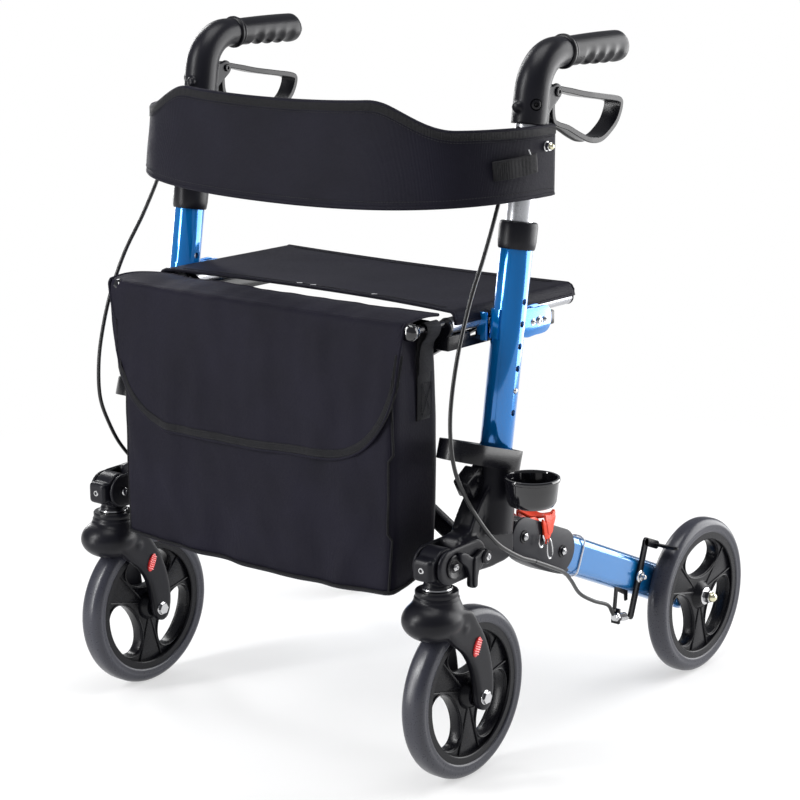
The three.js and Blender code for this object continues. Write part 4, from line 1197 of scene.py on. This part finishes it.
# painted highlights: three short pale dashes on the seat's front edge stand in for glints of light
glint_row, _ = inset_row(seat_grid, 5, seat_side, 1.9, False)
glint_dashes = join(*[sweep(np.array([glint_row[k] + (0, 0, 0.2), glint_row[k] + (6, 3, 0.4)]), circle(0.5, 6))
               for k in (38, 42, 60)])
seat_glint_dashes = piece("seat_painted_glints", glint_dashes, PALE_WIRE_AND_GLINT, "rail_left")

# bag: front, sides, rear and bottom in one lofted shell
BAG_TOP, BAG_LOW, BAG_N = 531, 226, 176
BAG_MIDDLE = -128


def bag_ring(z):
    """The bag's outline at a height: straight sides with rounded corners, sagging outward lower down."""
    share = (z - BAG_LOW) / (BAG_TOP - BAG_LOW)
    half = 208 + 2 * math.sin(math.pi * min(1, max(0, share)))
    front = -162 - 10 * (1 - share) - 5 * math.sin(math.pi * share)
    rear = -90 + 5 * math.sin(math.pi * share)
    radius = 9
    out = []
    corners = [(half, rear, 0), (-half, rear, 90), (-half, front, 180), (half, front, 270)]
    for cx, cy, start in corners:
        sx, sy = math.copysign(radius, cx), (radius if cy == rear else -radius)
        middle = (cx - sx, cy - sy)
        for t in np.linspace(0, math.pi / 2, 5):
            a = math.radians(start) + t
            out.append((middle[0] + radius * math.cos(a), middle[1] + radius * math.sin(a)))
    loop = np.array(out + out[:1])
    run = distances(loop)
    return np.array([values_at(s, run, loop) for s in np.linspace(0, run[-1], BAG_N, endpoint=False)])


def bag_point(x, y, z):
    """Folds, creases and the sagging bottom."""
    low = 1 - min(1, max(0, (z - BAG_LOW) / 120))
    side = abs(x) / 205
    drop = -4 - 8 * low * (1 - side ** 2.5) + 14 * low * float(ease((y + 165) / 75)) * side
    fold = 3.4 * noise.noise(Vector((x / 42, y / 60, z / 150 + 3)))
    fold += 2.4 * noise.noise(Vector(((x + z * 0.5) / 30, 4, z / 60)))
    pull = 3.5 * math.exp(-((x - 120 - (z - BAG_LOW) * 0.55) / 16) ** 2) * low
    corner = -3.0 * math.exp(-((x + 60 - (z - BAG_LOW) * 0.35) / 22) ** 2) * low
    return x, y - (fold + pull + corner) * (1 if y < -125 else -0.6), z + drop


wall_end = 234
bag_rings = [[bag_point(x, y, z) for x, y in bag_ring(z)] for z in np.linspace(BAG_TOP, wall_end, 44)]
centre_y = -130
for inset, z in ((1.5, 229.5), (5, 227), (12, 226), (24, 225.6), (34, 225.4)):
    bag_rings.append([bag_point(x * (1 - inset / 260), centre_y + (y - centre_y) * (1 - inset / 42), z)
                      for x, y in bag_ring(wall_end)])
outer_count = len(bag_rings)
inner_rings = [[(x * 0.992, BAG_MIDDLE + (y - BAG_MIDDLE) * 0.955, z + 1.6) for x, y, z in ring]
               for ring in reversed(bag_rings)]
bag_shape = loft(bag_rings + inner_rings, closed=True)
faces = bag_shape[1]
# the fold between the outer and inner bottoms is closed by two lids, and the ring between them is dropped
last_outer, first_inner = (outer_count - 1) * BAG_N, outer_count * BAG_N
faces = [f for f in faces
         if not (min(f) >= last_outer and max(f) < first_inner + BAG_N and min(f) < first_inner <= max(f))]
faces += [list(range(last_outer, last_outer + BAG_N)),
          list(range(first_inner + BAG_N - 1, first_inner - 1, -1))]
bag = piece("bag_body", (bag_shape[0], faces), CLOTH, "left_frame", ["storage_bag"], 55)

piping_z = 232.5
ring = np.array([bag_point(x * 1.004, BAG_MIDDLE + (y - BAG_MIDDLE) * 1.02, piping_z)
                 for x, y in bag_ring(piping_z)])
piping = [sweep(ring, circle(1.9, 8), True, (0, 0, 1))]
for sx in (1, -1):
    for front in (True, False):
        edge = []
        for z in np.linspace(BAG_TOP - 2, 232, 40):
            ring = bag_ring(z)
            target = np.array([sx * 400, -400 if front else 200])
            corner = ring[np.argmin(np.linalg.norm(ring - target, axis=1))]
            edge.append(bag_point(*corner, z))
        piping.append(sweep(np.array(edge), circle(1.5, 8), up=(1, 0, 0)))
bag_piping = piece("bag_piping", join(*piping), WEBBING, "left_frame")

# webbing loops that hang the bag from its knobs, and their box stitching
strap_line = smooth_path([(210.6, -116, 420), (211.4, -116, 450), (212, -117, 480), (213.5, -119, 505),
                          (217, -120, 522), (219.5, -121, 531), (224, -121, 534.5), (229, -121, 531),
                          (229.6, -121, 525), (226, -120, 518), (219, -119, 509), (215.6, -118, 494),
                          (214.2, -117, 474)], 8)
loop_shape = sweep(strap_line, strap(24, 1.4), up=(0, 1, 0))
box = [(212.4, y, z) for y, z in ((-121, 424), (-103, 424), (-103, 462), (-121, 462),
                                  (-121, 424), (-103, 462), (-103, 424), (-121, 462))]
box_line = np.array(box, float)
box_stitch = stitches(box_line, np.tile([1.0, 0, 0], (len(box_line), 1)), 3.4, 2.4, 0.4)
side_loops, side_stitches = [], []
for side, sign in SIDES:
    own = loop_shape if sign > 0 else flipped(loop_shape)
    side_loops.append(piece(f"bag_strap_{side}", own, WEBBING, f"{side}_frame", (), 50))
    own = box_stitch if sign > 0 else flipped(box_stitch)
    side_stitches.append(piece(f"bag_strap_stitching_{side}", own, THREAD, f"{side}_frame"))

# flap: from behind the bag's top, over its front edge and down, with rounded lower corners
FLAP_N, FLAP_M = 120, 60


def flap_point(u, v):
    """u from -1 to 1 across, v from 0 at the rear to 1 at the lower edge."""
    half = 216 + (22 if u < 0 else 5) * math.sin(math.pi * min(1, v * 0.95)) ** 0.8
    corner = 105
    x = u * half
    side = max(0.0, (abs(x) - (half - corner)) / corner)
    bottom = 373 + 120 * (1 - math.sqrt(max(0.0, 1 - min(1, side) ** 2.3))) + 8 * max(0, u) * 1.5
    over = 34 + 40 + (538 - bottom)
    s = v * over
    sag = 3.0 * (1 - u * u)
    top_run, bend_end, bend_r, top = 62, 74, 7.6, 537.5
    if s < top_run:
        t = s / top_run
        y, z = -96 - top_run * t, top + 3.0 * math.sin(math.pi * t) - sag * 0.6
    elif s < bend_end:
        a = (s - top_run) / (bend_end - top_run) * math.pi / 2
        y, z = -158 - bend_r * math.sin(a), top - bend_r * (1 - math.cos(a)) - sag * 0.6
    else:
        d = s - bend_end
        y = -165.6 - d * 0.055 - 3.0 * math.sin(math.pi * min(1, d / 160))
        z = 529.9 - d - sag * 0.6 * (1 - d / 200)
    down = ease((s - 70) / 40)
    crease = 2.0 * math.exp(-((x + 132) / 15) ** 2) * down + 1.5 * math.exp(-((x + 60) / 18) ** 2) * down
    fold = 3.6 * noise.noise(Vector((x / 48, 1.7, z / 130)))
    fold += 2.2 * noise.noise(Vector((x / 24, 9.1, z / 70)))
    lift = max(0.0, abs(x) - 195) * 0.10
    if s > 66:
        y -= fold * 0.9 + crease - lift * 0.3
    else:
        z += fold * 0.5
    return x, y, z


flap_grid = np.array([[flap_point(2 * i / (FLAP_N - 1) - 1, j / (FLAP_M - 1)) for j in range(FLAP_M)]
                      for i in range(FLAP_N)])
flap_shape = join(slab(flap_grid, 2.0), sweep(rim_path(flap_grid), circle(1.9, 8), True, (0, 0, 1)))
flap = piece("bag_flap_cloth", flap_shape, CLOTH, "bag_lid", ["bag_flap"], 55)
flap_side = outward(flap_grid, (0, 0, 450))
edge_lines = []
for distance in (3.2, 9.4):
    p, n = inset_row(flap_grid, distance, flap_side, 1.25, True)
    edge_lines.append(stitches(p, n, 3.4, 2.4, 0.42))
edge_row, _ = inset_row(flap_grid, 6.2, flap_side, 1.1, True)
flap_border = piece("bag_flap_binding", sweep(edge_row, strap(9.5, 1.0), up=(0, 0, 1)), WEBBING,
                    "bag_lid", (), 50)
flap_stitch = piece("bag_flap_stitching", join(*edge_lines), THREAD, "bag_lid")


# ---- the cloth's flat sizes, and a mesh of its own for each piece of cloth ----
def flat_size(shape, width):
    """The cloth laid flat, in metres: its width and the length that gives its area."""
    return width, area_of(shape) / width


seat_flat = flat_size(seat_shape, 0.49)
bag_flat = flat_size((bag_shape[0], faces), 1.0)
flap_flat = flat_size(flap_shape, 0.42)

for group, anchor, keep in (((seat, seat_seams, seat_glint_dashes), FOLD[0], 0.3377),
                            ((backrest, seams, band_binding, band_loop_piece, wire), BAND_HALF, 0.4645),
                            ((bag, bag_piping, flap, flap_border, flap_stitch), 210, 0.3)):
    for obj in group:
        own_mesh(obj)

# ---- studio ----
def plane(name, size, location, rotation, color, rough):
    mesh = bpy.data.meshes.new(name)
    mesh.from_pydata([(-size, -size, 0), (size, -size, 0), (size, size, 0), (-size, size, 0)], [],
                     [(0, 1, 2, 3)])
    mesh.materials.append(material(name, color, rough, 0, 40, 0.02, 0.2, vary=0.01))
    obj = bpy.data.objects.new(name, mesh)
    obj.location, obj.rotation_euler = location, rotation
    bpy.context.scene.collection.objects.link(obj)


plane("floor", 30, (0, 0, 0), (0, 0, 0), (0.95, 0.95, 0.95), 0.7)
floor_material = bpy.data.objects["floor"].data.materials[0]
nodes, links = floor_material.node_tree.nodes, floor_material.node_tree.links
surface = next(n for n in nodes if n.type == "OUTPUT_MATERIAL")
lit = surface.inputs["Surface"].links[0].from_socket
place, far = nodes.new("ShaderNodeNewGeometry"), nodes.new("ShaderNodeVectorMath")
fade = nodes.new("ShaderNodeMapRange")
far.operation = "LENGTH"
glow, both = nodes.new("ShaderNodeEmission"), nodes.new("ShaderNodeMixShader")
for socket, value in (("From Min", 0.2), ("From Max", 1.5), ("To Min", 0.45), ("To Max", 1.0)):
    fade.inputs[socket].default_value = value
links.new(place.outputs["Position"], far.inputs[0])
links.new(far.outputs["Value"], fade.inputs["Value"])
links.new(fade.outputs["Result"], both.inputs["Fac"])
links.new(lit, both.inputs[1])
links.new(glow.outputs["Emission"], both.inputs[2])
links.new(both.outputs["Shader"], surface.inputs["Surface"])


def softbox(name, position, aim, size, power):
    light = bpy.data.lights.new(name, "AREA")
    light.shape, light.size, light.size_y, light.energy = "RECTANGLE", size[0], size[1], power
    obj = bpy.data.objects.new(name, light)
    obj.location = position
    obj.rotation_euler = (Vector(aim) - Vector(position)).to_track_quat("-Z", "Y").to_euler()
    obj.visible_camera = False
    bpy.context.scene.collection.objects.link(obj)


softbox("key", (-1.6, -3.0, 2.6), (0, 0, 0.45), (1.0, 1.6), 62)
softbox("right panel", (1.05, 1.35, 0.86), (0.28, 0, 0.55), (2.0, 1.7), 50)
softbox("front strip", (-0.95, -1.85, 0.75), (0.28, 0, 0.5), (0.16, 1.5), 20)
softbox("left strip", (-2.4, 0.9, 1.3), (0, 0, 0.5), (0.5, 2.2), 30)
softbox("top", (0.2, -0.2, 3.0), (0, 0, 0.4), (1.6, 1.6), 40)

sky = bpy.data.worlds.new("studio")
sky.use_nodes = True
sky_nodes, sky_links = sky.node_tree.nodes, sky.node_tree.links
sky_light = sky_nodes["Background"]
sky_light.inputs["Color"].default_value = (0.93, 0.95, 1, 1)
sky_light.inputs["Strength"].default_value = 0.24
backdrop = sky_nodes.new("ShaderNodeBackground")
backdrop.inputs["Color"].default_value = (1, 1, 1, 1)
seen = sky_nodes.new("ShaderNodeLightPath")
choose = sky_nodes.new("ShaderNodeMixShader")
sky_links.new(seen.outputs["Is Camera Ray"], choose.inputs["Fac"])
sky_links.new(sky_light.outputs["Background"], choose.inputs[1])
sky_links.new(backdrop.outputs["Background"], choose.inputs[2])
sky_links.new(choose.outputs["Shader"], sky_nodes["World Output"].inputs["Surface"])
bpy.context.scene.world = sky
bpy.context.scene.view_settings.view_transform = "Standard"

lens = bpy.data.cameras.new("camera")
lens.lens, lens.sensor_width, lens.shift_y, lens.clip_start, lens.clip_end = 101.44, 36, 0.003, 0.05, 100
camera = bpy.data.objects.new("camera", lens)
camera.location = (1.7026, -2.20355, 1.0221)
azimuth, elevation = math.radians(38.48), math.radians(13.28)
back = Vector((math.sin(azimuth) * math.cos(elevation), -math.cos(azimuth) * math.cos(elevation),
               math.sin(elevation)))
camera.rotation_mode = "QUATERNION"
camera.rotation_quaternion = (-back).to_track_quat("-Z", "Y")
bpy.context.scene.collection.objects.link(camera)
bpy.context.scene.camera = camera
